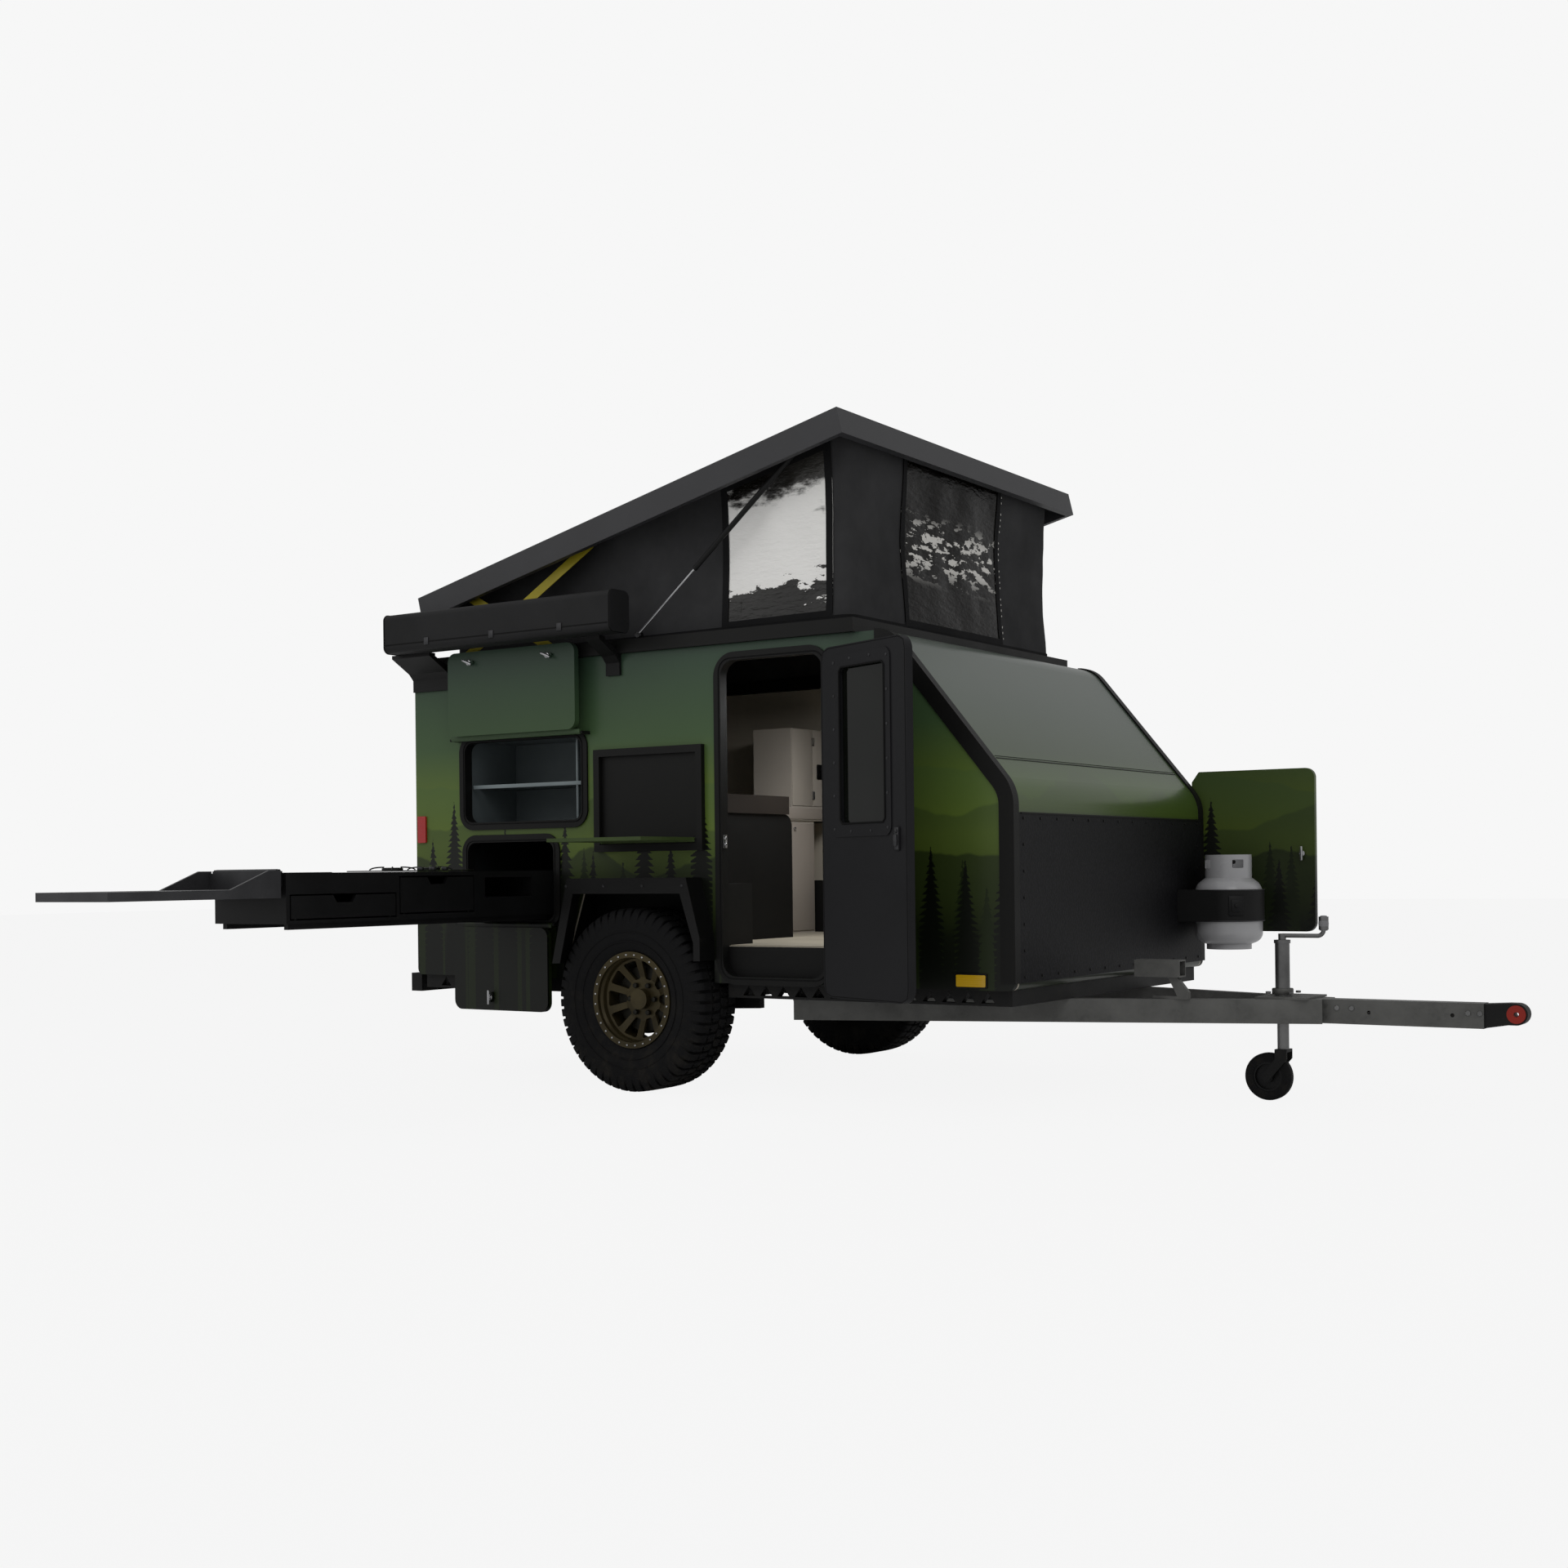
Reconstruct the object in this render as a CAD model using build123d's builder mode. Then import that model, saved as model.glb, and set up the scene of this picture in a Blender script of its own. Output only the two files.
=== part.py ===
from build123d import *
import os
from math import cos, radians, sin, tan

os.makedirs("parts", exist_ok=True)

# The trailer's own frame, in millimetres: x forward, y to the left, z up.
# The origin is the centre of the coupling's cross bore.
axle_x = -3570            # wheel centre line behind the coupling
road_z = -395             # road below the coupling
seat_gap = 0.3            # at a seat, a pin or a runner
move_gap = 6              # between a moving piece and what it passes
sides = (-1, 1)           # right, left

# Wheels
tyre_radius = 415.5
tyre_width = 285
tyre_shoulder = 34
rim_radius = 218
rim_width = 236
rim_wall = 7
hub_radius = 70
hub_bore = 32
spoke_count = 10
disc_thick = 16

# Body box
half_width = 1015
wheel_y = half_width - 58  # wheel centre plane from the middle of the trailer
wall = 40
rear_x = axle_x - 1380
nose_x = axle_x + 1890
sill_z = road_z + 500
wall_top = road_z + 1985
brow_x = axle_x + 1334    # where the flat top meets the slope, before rounding
slope_angle = 50.7
brow_radius = 150
nose_radius = 180
corner_radius = 30
shell = 30
floor_top = road_z + 660
guard_top = road_z + 1212
guard_thick = 8
trim_width = 58
trim_proud = 8

# Top rail and lid
rail_height = 60
rail_overhang = 30
rail_width = 120
rail_front_x = axle_x + 1175
rail_top = wall_top + rail_height
lid_tilt = 13.5
lid_length = 2470
lid_half_width = half_width + 108
lid_height = 113
fascia = 30
lid_under = 72             # underside of the roof panel above the fascia's lower edge
lid_panel = 38
lid_rear_x = axle_x - 1220
lid_rear_z = road_z + 2221

# Canvas
canvas_half = half_width - 43
canvas_front_x = rail_front_x - 53
canvas_rear_x = lid_rear_x + 55
canvas_thick = 6

# Lift arms and gas struts
arm_width = 44
arm_thick = 4
arm_pin = 6
arm_foot_z = road_z + 2022
arm_pin_length = 20
long_foot_x = axle_x - 1020
long_length = 922
long_angle = 30.65
short_foot_x = axle_x - 433
short_length = 608
short_angle = 29.05        # leans back
long_arm_y = half_width + rail_overhang + 4
short_arm_y = long_arm_y + 9
strut_foot_x = axle_x + 30
strut_foot_z = rail_top + 18
strut_head_x = axle_x + 900
strut_y = half_width + 15
strut_tube_radius = 12
strut_rod_radius = 5
strut_tube_length = 700
eye_radius = 13
eye_width = 12
strut_pin = 4
strut_hole = 5.2
strut_stud = 8            # on the rod's eye, against the rail's lug

# Chassis and drawbar
chassis_height = 65
main_rail_y = half_width - 375
main_rail_width = 60
sill_rail_y = half_width - 40
sill_rail_width = 40
truss_pitch = 90
truss_width = 64
truss_height = 44
drawbar_height = 100
drawbar_angle = 20
drawbar_rail = 50
drawbar_tube = 80
tube_wall = 6
apex_x = axle_x + 2815
apex_y = 62
drawbar_rear_x = axle_x + 720
tube_rear_x = axle_x + 2800
tube_front_x = axle_x + 3450
bush_radius = 36
bush_length = 70
bore_radius = 10
cheek_radius = 43
cheek_width = 64

# Jack on the drawbar
jack_x = axle_x + 2630
jack_tube_radius = 30
jack_tube_bottom = road_z + 385
jack_tube_top = road_z + 662
jack_leg_radius = 24
jockey_radius = 100
jockey_width = 50
jockey_trail = 62
fork_thick = 6

# Panels that open
panel = 30
hinge_radius = 8
hinge_pin = 4
flange = 36
flange_proud = 10
lining = 8
panel_inner = half_width + flange_proud + move_gap
panel_outer = panel_inner + panel
hinge_y = panel_outer + 5
door_thick = 35
door_open = 157

# Kitchen
kitchen_near_x = axle_x - 500
kitchen_width = 425
kitchen_end_y = -2625
kitchen_length = 1700
kitchen_bottom = road_z + 800
kitchen_top = road_z + 995
board = 15
worktop = 9
runner_height = 23
runner_width = 24
runner_length = 1940
leaf_length = 800
leaf_thick = 35
leaf_drop = 72

# Awning case
awning_y = half_width + 185
awning_depth = 138
awning_height = 184
awning_rear_x = axle_x - 1335
awning_front_x = axle_x + 60
awning_bottom = road_z + 2056
awning_corner = 28

slope_bottom_z = wall_top - (nose_x - brow_x) * tan(radians(slope_angle))
chassis_bottom = sill_z - chassis_height
drawbar_top = chassis_bottom
drawbar_mid = drawbar_top - drawbar_height / 2
lid_along = Vector(cos(radians(lid_tilt)), 0, sin(radians(lid_tilt)))
lid_up = Vector(-sin(radians(lid_tilt)), 0, cos(radians(lid_tilt)))
lid_plane = Plane(origin=(lid_rear_x, 0, lid_rear_z), x_dir=lid_along, z_dir=lid_up)
body_profile = [
    (rear_x, sill_z), (rear_x, wall_top), (brow_x, wall_top),
    (nose_x, slope_bottom_z), (nose_x, sill_z),
]
body_radii = [corner_radius, corner_radius, brow_radius, nose_radius, corner_radius]


def span_box(x, y, z, mode=Mode.ADD):
    """A box between (low, high) along x, y and z."""
    with Locations(((x[0] + x[1]) / 2, (y[0] + y[1]) / 2, (z[0] + z[1]) / 2)):
        Box(x[1] - x[0], y[1] - y[0], z[1] - z[0], mode=mode)


def span_rectangle(x, z, mode=Mode.ADD):
    """A rectangle between (low, high) along a sketch's two directions."""
    with Locations(((x[0] + x[1]) / 2, (z[0] + z[1]) / 2)):
        Rectangle(x[1] - x[0], z[1] - z[0], mode=mode)


def lid_line(x, height):
    """Height above the origin of a line in the raised lid, at a place x."""
    rise = (x - lid_rear_x) * tan(radians(lid_tilt))
    return lid_rear_z + rise + height / cos(radians(lid_tilt))


# Openings in the walls: middle x ahead of the axle, middle z above the road,
# width, height and corner radius of the clear opening
door_hole = (742, 1221, 530, 1382, 70)
pantry_hole = (-681, 1430, 726, 384, 48)
galley_hole = (-760, 955, 540, 372, 48)
right_holes = [door_hole, pantry_hole, galley_hole]
window_hole = (-60, 1440, 760, 380, 60)

# Front locker in the left wall: its outline ahead of the axle and above the road
locker_hole = [(1225, 715), (1225, 1405), (1660, 1405), (1748, 1300), (1748, 715)]
locker_corner = 40

# Wheel arch in the wall, ahead of the axle and above the road, and the flare round it
arch = [(-440, 480), (-440, 600), (-330, 925), (340, 925), (424, 690), (424, 480)]
flare = [(-418, 575), (-326, 965), (352, 965), (424, 700), (424, 600)]
flare_lip = 70
flare_thick = 6
flare_reach = 110

# The walls, each one panel with its openings cut
with BuildPart() as wall_right:
    with BuildSketch(Plane.XZ.offset(half_width - wall)):
        with BuildLine():
            FilletPolyline(*body_profile, radius=body_radii, close=True)
        make_face()
        for middle_x, middle_z, width, height, corner in right_holes:
            with Locations((axle_x + middle_x, road_z + middle_z)):
                RectangleRounded(width + 2 * lining, height + 2 * lining, corner + lining, mode=Mode.SUBTRACT)
        with BuildLine():
            Polyline(*[(axle_x + x, road_z + z) for x, z in arch], close=True)
        make_face(mode=Mode.SUBTRACT)
    extrude(amount=wall)
wall_right.part.label = "wall_right"
export_step(wall_right.part, "parts/wall_right.step")

with BuildPart() as wall_left:
    with BuildSketch(Plane.XZ.offset(-half_width)):
        with BuildLine():
            FilletPolyline(*body_profile, radius=body_radii, close=True)
        make_face()
        with Locations((axle_x + window_hole[0], road_z + window_hole[1])):
            RectangleRounded(window_hole[2], window_hole[3], window_hole[4], mode=Mode.SUBTRACT)
        with BuildLine():
            Polyline(*[(axle_x + x, road_z + z) for x, z in arch], close=True)
        make_face(mode=Mode.SUBTRACT)
    extrude(amount=wall)
    with BuildSketch(Plane.XZ.offset(-half_width)):
        with BuildLine():
            FilletPolyline(
                *[(axle_x + x, road_z + z) for x, z in locker_hole], radius=locker_corner, close=True
            )
        make_face()
        offset(amount=lining)
    extrude(amount=wall, mode=Mode.SUBTRACT)
wall_left.part.label = "wall_left"
export_step(wall_left.part, "parts/wall_left.step")

inner_half = half_width - wall
rear_window = (0, 1500, 1100, 380, 60)
with BuildPart() as wall_rear:
    with BuildSketch(Plane.YZ.offset(rear_x)):
        span_rectangle((-inner_half, inner_half), (sill_z, wall_top))
        with Locations((rear_window[0], road_z + rear_window[1])):
            RectangleRounded(rear_window[2], rear_window[3], rear_window[4], mode=Mode.SUBTRACT)
    extrude(amount=wall)
wall_rear.part.label = "wall_rear"
export_step(wall_rear.part, "parts/wall_rear.step")

# Slope, nose, front panel and belly under the nose: one bent shell between the side walls
shell_rear_x = axle_x + 1090
with BuildPart() as front_shell:
    with BuildSketch(Plane.XZ.offset(-inner_half)):
        with BuildLine():
            FilletPolyline(*body_profile, radius=body_radii, close=True)
        make_face()
        offset(amount=-shell, mode=Mode.SUBTRACT)
        span_rectangle((rear_x - wall, shell_rear_x), (sill_z - wall, wall_top + wall), mode=Mode.SUBTRACT)
    extrude(amount=2 * inner_half)
front_shell.part.label = "front_shell"
export_step(front_shell.part, "parts/front_shell.step")

# Pebbled guard on the lower front
with BuildPart() as front_guard:
    with BuildSketch(Plane.YZ.offset(nose_x)):
        span_rectangle((-inner_half, inner_half), (sill_z + corner_radius, guard_top))
    extrude(amount=guard_thick)
front_guard.part.label = "front_guard"
export_step(front_guard.part, "parts/front_guard.step")

# Black corner trims down the front edge of each side wall
trim_rear_x = brow_x - 70
with BuildPart() as corner_trims:
    for side in sides:
        with BuildSketch(Plane.XZ.offset(-side * half_width)):
            with BuildLine():
                FilletPolyline(*body_profile, radius=body_radii, close=True)
            make_face()
            offset(amount=trim_proud)
            with BuildLine():
                FilletPolyline(*body_profile, radius=body_radii, close=True)
            trim_face = make_face(mode=Mode.PRIVATE)
            offset(trim_face, amount=-trim_width, mode=Mode.SUBTRACT)
            span_rectangle((rear_x - wall, trim_rear_x), (sill_z - wall, wall_top + wall), mode=Mode.SUBTRACT)
            low_strip = (sill_z - wall, sill_z + corner_radius)
            span_rectangle((rear_x, nose_x + wall), low_strip, mode=Mode.SUBTRACT)
            trim_foot = (rear_x, nose_x - trim_width)
            span_rectangle(trim_foot, (sill_z - wall, sill_z + trim_width + 1), mode=Mode.SUBTRACT)
        extrude(amount=-side * trim_proud)
        with BuildSketch(Plane.XZ.offset(-side * (half_width - wall))):
            with BuildLine():
                FilletPolyline(*body_profile, radius=body_radii, close=True)
            make_face()
            offset(amount=trim_proud)
            with BuildLine():
                FilletPolyline(*body_profile, radius=body_radii, close=True)
            make_face(mode=Mode.SUBTRACT)
            span_rectangle((rear_x - wall, trim_rear_x), (sill_z - wall, wall_top + wall), mode=Mode.SUBTRACT)
            low_strip = (sill_z - wall, sill_z + corner_radius)
            span_rectangle((rear_x, nose_x + wall), low_strip, mode=Mode.SUBTRACT)
        extrude(amount=-side * wall)
corner_trims.part.label = "corner_trims"
export_step(corner_trims.part, "parts/corner_trims.step")

# Floor box between the walls, notched for the wheels
well_half = 452
well_inner_y = wheel_y - 200
well_top = road_z + 935
well_wall = 5
with BuildPart() as floor_box:
    span_box((rear_x + wall, shell_rear_x), (-inner_half, inner_half), (sill_z, floor_top))
    for side in sides:
        notch = sorted((side * well_inner_y, side * half_width))
        span_box((axle_x - well_half, axle_x + well_half), notch, (sill_z, floor_top), mode=Mode.SUBTRACT)
floor_box.part.label = "floor_box"
export_step(floor_box.part, "parts/floor_box.step")

# Wheel wells inside the walls
with BuildPart() as wheel_wells:
    for side in sides:
        well_y = sorted((side * (well_inner_y + seat_gap), side * (inner_half - seat_gap)))
        cut_y = sorted((side * (well_inner_y + well_wall), side * half_width))
        outer_x = (axle_x - well_half + seat_gap, axle_x + well_half - seat_gap)
        inner_x = (axle_x - well_half + well_wall, axle_x + well_half - well_wall)
        span_box(outer_x, well_y, (sill_z, well_top))
        span_box(inner_x, cut_y, (sill_z, well_top - well_wall), mode=Mode.SUBTRACT)
wheel_wells.part.label = "wheel_wells"
export_step(wheel_wells.part, "parts/wheel_wells.step")

# Top rail round the open top of the box
with BuildPart() as top_rail:
    with BuildSketch(Plane.XY.offset(wall_top)):
        rail_edge = half_width + rail_overhang
        span_rectangle((rear_x, rail_front_x), (-rail_edge, rail_edge))
        rail_inner = rail_edge - rail_width
        span_rectangle(
            (rear_x + rail_width, rail_front_x - rail_width), (-rail_inner, rail_inner), mode=Mode.SUBTRACT
        )
    extrude(amount=rail_height)
    for side in sides:
        rail_face = side * (half_width + rail_overhang)
        for foot_x in (long_foot_x, short_foot_x):
            with BuildSketch(Plane.XZ.offset(-rail_face)):
                with Locations((foot_x, arm_foot_z)):
                    Circle(arm_pin)
            extrude(amount=-side * arm_pin_length)
        with BuildSketch(Plane.XZ.offset(-side * (strut_y - eye_width / 2 - move_gap))):
            with Locations((strut_foot_x, strut_foot_z)):
                Circle(eye_radius)
            span_rectangle(
                (strut_foot_x - eye_radius, strut_foot_x + eye_radius), (rail_top - 1, strut_foot_z)
            )
        extrude(amount=side * eye_width)
top_rail.part.label = "top_rail"
export_step(top_rail.part, "parts/top_rail.step")

# Chassis: main rails, cross members and sill rails pierced by a truss of triangles
chassis_rear_x = rear_x + 20
chassis_front_x = nose_x - 30
rail_spans = [(chassis_rear_x, axle_x - 470), (axle_x + 470, chassis_front_x)]
cross_places = [-1330, -500, 500, 1150, 1830]
cross_width = 60
with BuildPart() as chassis_frame:
    for side in sides:
        main_y = sorted((side * main_rail_y, side * (main_rail_y - main_rail_width)))
        span_box((chassis_rear_x, chassis_front_x), main_y, (chassis_bottom, sill_z))
        sill_y = sorted((side * sill_rail_y, side * (sill_rail_y - sill_rail_width)))
        for rail_span in rail_spans:
            span_box(rail_span, sill_y, (chassis_bottom, sill_z))
    for place in cross_places:
        cross_x = (axle_x + place - cross_width / 2, axle_x + place + cross_width / 2)
        cross_y = (-sill_rail_y + sill_rail_width / 2, sill_rail_y - sill_rail_width / 2)
        span_box(cross_x, cross_y, (chassis_bottom, sill_z))
    for low_x, high_x in rail_spans:
        count = int((high_x - low_x - truss_pitch) / truss_pitch)
        first_x = (low_x + high_x) / 2 - (count - 1) * truss_pitch / 2
        base_z = chassis_bottom + (chassis_height - truss_height) / 2
        for side in sides:
            with BuildSketch(Plane.XZ.offset(-side * half_width)):
                for number in range(count):
                    middle_x = first_x + number * truss_pitch
                    with BuildLine():
                        Polyline(
                            (middle_x - truss_width / 2, base_z),
                            (middle_x + truss_width / 2, base_z),
                            (middle_x, base_z + truss_height),
                            close=True,
                        )
                    make_face()
            extrude(amount=side * (half_width - sill_rail_y + sill_rail_width), mode=Mode.SUBTRACT)
chassis_frame.part.label = "chassis_frame"
export_step(chassis_frame.part, "parts/chassis_frame.step")

# Drawbar: two rails that meet at a hollow centre tube, with a plate that holds the jack
with BuildPart() as drawbar:
    for side in sides:
        apex_mid_y = side * apex_y
        rail_run = (apex_x - drawbar_rear_x) / cos(radians(drawbar_angle))
        rail_plane = Plane(
            origin=(apex_x, apex_mid_y, drawbar_mid),
            x_dir=(-cos(radians(drawbar_angle)), side * sin(radians(drawbar_angle)), 0),
            z_dir=(0, 0, 1),
        )
        with BuildSketch(rail_plane.offset(-drawbar_height / 2)):
            span_rectangle((0, rail_run), (-drawbar_rail / 2, drawbar_rail / 2))
        extrude(amount=drawbar_height)
    tube_half = drawbar_tube / 2
    tube_z = (drawbar_top - drawbar_height, drawbar_top)
    span_box((tube_rear_x - 60, tube_front_x), (-tube_half, tube_half), tube_z)
    bore_half = tube_half - tube_wall
    span_box(
        (tube_rear_x + 200, tube_front_x),
        (-bore_half, bore_half),
        (drawbar_top - drawbar_height + tube_wall, drawbar_top - tube_wall),
        mode=Mode.SUBTRACT,
    )
    span_box((jack_x - 75, apex_x - 40), (-apex_y - 70, apex_y + 70), (drawbar_top, drawbar_top + 8))
    with BuildSketch(Plane.XY.offset(drawbar_top)):
        with Locations((jack_x, 0)):
            Circle(jack_tube_radius + seat_gap)
    extrude(amount=8, mode=Mode.SUBTRACT)
    with BuildSketch(Plane.XZ.offset(-drawbar_tube)):
        with Locations((tube_front_x - 120, drawbar_mid), (tube_front_x - 450, drawbar_mid)):
            Circle(8)
    extrude(amount=2 * drawbar_tube, mode=Mode.SUBTRACT)
drawbar.part.label = "drawbar"
export_step(drawbar.part, "parts/drawbar.step")

# Coupling: shank in the tube, cheeks round a red bush with the cross bore
with BuildPart() as coupling:
    shank = drawbar_tube / 2 - tube_wall - seat_gap
    shank_z = drawbar_height / 2 - tube_wall - seat_gap
    shank_span = (drawbar_mid - shank_z, drawbar_mid + shank_z)
    span_box((tube_front_x - 180, tube_front_x), (-shank, shank), shank_span)
    with BuildSketch(Plane.XZ.offset(-cheek_width / 2)):
        with BuildLine():
            top = Line((tube_front_x, drawbar_mid + 48), (-30, cheek_radius))
            lower = Line((tube_front_x, drawbar_mid - 48), (-30, -cheek_radius))
            Line(top @ 0, lower @ 0)
            Line(top @ 1, lower @ 1)
        make_face()
        Circle(cheek_radius)
        span_rectangle((-30, 0), (-cheek_radius, cheek_radius))
        Circle(bush_radius + seat_gap, mode=Mode.SUBTRACT)
    extrude(amount=cheek_width)
coupling.part.label = "coupling"
export_step(coupling.part, "parts/coupling.step")

with BuildPart() as coupling_bush:
    with BuildSketch(Plane.XZ.offset(-bush_length / 2)):
        Circle(bush_radius)
        Circle(bore_radius, mode=Mode.SUBTRACT)
    extrude(amount=bush_length)
coupling_bush.part.label = "coupling_bush"
export_step(coupling_bush.part, "parts/coupling_bush.step")

# Receiver stub on the right drawbar rail, on a bent leg
stub_front_x = axle_x + 2300
stub_length = 200
stub_size = 72
stub_y = -apex_y - (apex_x - stub_front_x + 90) * tan(radians(drawbar_angle))
stub_bottom = drawbar_top + 92
with BuildPart() as receiver_stub:
    half = stub_size / 2
    stub_x = (stub_front_x - stub_length, stub_front_x)
    span_box(stub_x, (stub_y - half, stub_y + half), (stub_bottom, stub_bottom + stub_size))
    span_box(
        (stub_front_x - stub_length, stub_front_x),
        (stub_y - half + tube_wall, stub_y + half - tube_wall),
        (stub_bottom + tube_wall, stub_bottom + stub_size - tube_wall),
        mode=Mode.SUBTRACT,
    )
    with BuildSketch(Plane.XZ.offset(-stub_y - 12)):
        with BuildLine():
            Polyline(
                (stub_front_x - 60, stub_bottom),
                (stub_front_x - 20, stub_bottom),
                (stub_front_x + 30, drawbar_top + 30),
                (stub_front_x + 30, drawbar_top + seat_gap),
                (stub_front_x - 130, drawbar_top + seat_gap),
                (stub_front_x - 130, drawbar_top + 12),
                (stub_front_x - 20, drawbar_top + 12),
                close=True,
            )
        make_face()
    extrude(amount=24)
receiver_stub.part.label = "receiver_stub"
export_step(receiver_stub.part, "parts/receiver_stub.step")

# Suspension: a trailing arm with its stub axle, a hub flange and an air spring on each side
axle_z = road_z + tyre_radius
arm_y = 735
arm_front_x = axle_x + 430
arm_section = 76
spindle_radius = 28
hub_face_y = wheel_y + 20
pivot_z = chassis_bottom - 35
with BuildPart() as trailing_arms:
    for side in sides:
        arm_side = side * arm_y
        with BuildSketch(Plane.XZ.offset(-side * (arm_y - arm_section / 2))):
            with BuildLine():
                Polyline(
                    (axle_x - 60, axle_z + 30),
                    (axle_x - 190, axle_z + 30),
                    (axle_x - 190, axle_z - 40),
                    (axle_x + 60, axle_z - 60),
                    (arm_front_x + 40, pivot_z - 30),
                    (arm_front_x + 40, pivot_z + 34),
                    (arm_front_x - 60, pivot_z + 34),
                    (axle_x + 40, axle_z + 48),
                    close=True,
                )
            make_face()
        extrude(amount=-side * (arm_section - 40))
        spindle_y = arm_y - arm_section / 2
        with BuildSketch(Plane.XZ.offset(-side * spindle_y)):
            with Locations((axle_x, axle_z)):
                Circle(spindle_radius)
        extrude(amount=-side * (hub_face_y - spindle_y))
trailing_arms.part.label = "trailing_arms"
export_step(trailing_arms.part, "parts/trailing_arms.step")

# Air springs between the arms and the floor box
bellows_x = axle_x - 130
bellows_radius = 62
bellows_waist = 50
bellows_base = axle_z + 30 + seat_gap
bellows_top = sill_z
with BuildPart() as air_springs:
    for side in sides:
        height = bellows_top - bellows_base
        middle_y = side * (arm_y - arm_section / 2 + (arm_section - 40) / 2)
        bellows_origin = (bellows_x, middle_y, bellows_base)
        with BuildSketch(Plane(origin=bellows_origin, x_dir=(1, 0, 0), z_dir=(0, -1, 0))):
            with BuildLine():
                foot = Line((0, 0), (bellows_waist, 0))
                low = ThreePointArc(foot @ 1, (bellows_radius, height / 4), (bellows_waist, height / 2))
                high = ThreePointArc(low @ 1, (bellows_radius, 3 * height / 4), (bellows_waist, height))
                Line(high @ 1, (0, height))
                Line((0, height), (0, 0))
            make_face()
        revolve(axis=Axis((bellows_x, middle_y, bellows_base), (0, 0, 1)))
air_springs.part.label = "air_springs"
export_step(air_springs.part, "parts/air_springs.step")

# Tyres out to the tips of their lugs, and rims with a pierced disc
tread_half = tyre_width / 2 - tyre_shoulder
bead_half = rim_width / 2
for side, name in zip(sides, ("right", "left")):
    wheel_plane = Plane(origin=(axle_x, side * wheel_y, axle_z), x_dir=(0, side, 0), z_dir=(1, 0, 0))
    spin_axis = Axis((axle_x, side * wheel_y, axle_z), (0, 1, 0))
    with BuildPart() as tyre:
        with BuildSketch(wheel_plane):
            with BuildLine():
                crown = Line((-tread_half, tyre_radius), (tread_half, tyre_radius))
                shoulder = Line(crown @ 1, (tyre_width / 2 - 4, tyre_radius - tyre_shoulder))
                bulge = (tyre_width / 2, tyre_radius - 95)
                outer = ThreePointArc(shoulder @ 1, bulge, (bead_half, rim_radius + 14))
                Line(outer @ 1, (bead_half, rim_radius + seat_gap))
                Line((bead_half, rim_radius + seat_gap), (-bead_half, rim_radius + seat_gap))
                Line((-bead_half, rim_radius + seat_gap), (-bead_half, rim_radius + 14))
                inner = ThreePointArc(
                    (-bead_half, rim_radius + 14),
                    (-tyre_width / 2, tyre_radius - 95),
                    (-tyre_width / 2 + 4, tyre_radius - tyre_shoulder),
                )
                Line(inner @ 1, crown @ 0)
            make_face()
        revolve(axis=spin_axis)
    tyre.part.label = f"tyre_{name}"
    export_step(tyre.part, f"parts/tyre_{name}.step")

    disc_face = 62
    with BuildPart() as rim:
        with BuildSketch(wheel_plane):
            with BuildLine():
                Polyline(
                    (-bead_half, rim_radius),
                    (bead_half, rim_radius),
                    (bead_half, rim_radius - 26),
                    (bead_half - 14, rim_radius - 26),
                    (bead_half - 24, rim_radius - 22),
                    (disc_face + 20, rim_radius - 30),
                    (disc_face, rim_radius - 34),
                    (disc_face - 34, hub_radius + 30),
                    (disc_face - 34, hub_bore),
                    (disc_face - 34 - disc_thick, hub_bore),
                    (disc_face - 34 - disc_thick, hub_radius + 34),
                    (disc_face - disc_thick, rim_radius - 34 - disc_thick),
                    (disc_face - disc_thick, rim_radius - rim_wall - 24),
                    (-bead_half + 30, rim_radius - rim_wall - 18),
                    (-bead_half, rim_radius - rim_wall),
                    close=True,
                )
            make_face()
        revolve(axis=spin_axis)
        face_origin = (axle_x, side * (wheel_y - bead_half), axle_z)
        face_plane = Plane(origin=face_origin, x_dir=(1, 0, 0), z_dir=(0, side, 0))
        with BuildSketch(face_plane):
            with PolarLocations(0, spoke_count):
                with BuildLine(mode=Mode.PRIVATE) as pane:
                    FilletPolyline(
                        (hub_radius + 22, -15), (hub_radius + 22, 15),
                        (rim_radius - 44, 38), (rim_radius - 44, -38),
                        radius=9,
                        close=True,
                    )
                add(make_face(pane.edges(), mode=Mode.PRIVATE))
        extrude(amount=rim_width, mode=Mode.SUBTRACT)
        cap_plane = Plane(
            origin=(axle_x, side * (hub_face_y + seat_gap), axle_z), x_dir=(1, 0, 0), z_dir=(0, side, 0)
        )
        with BuildSketch(cap_plane):
            Circle(hub_radius - 24)
        extrude(amount=42)
    rim.part.label = f"rim_{name}"
    export_step(rim.part, f"parts/rim_{name}.step")

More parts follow.
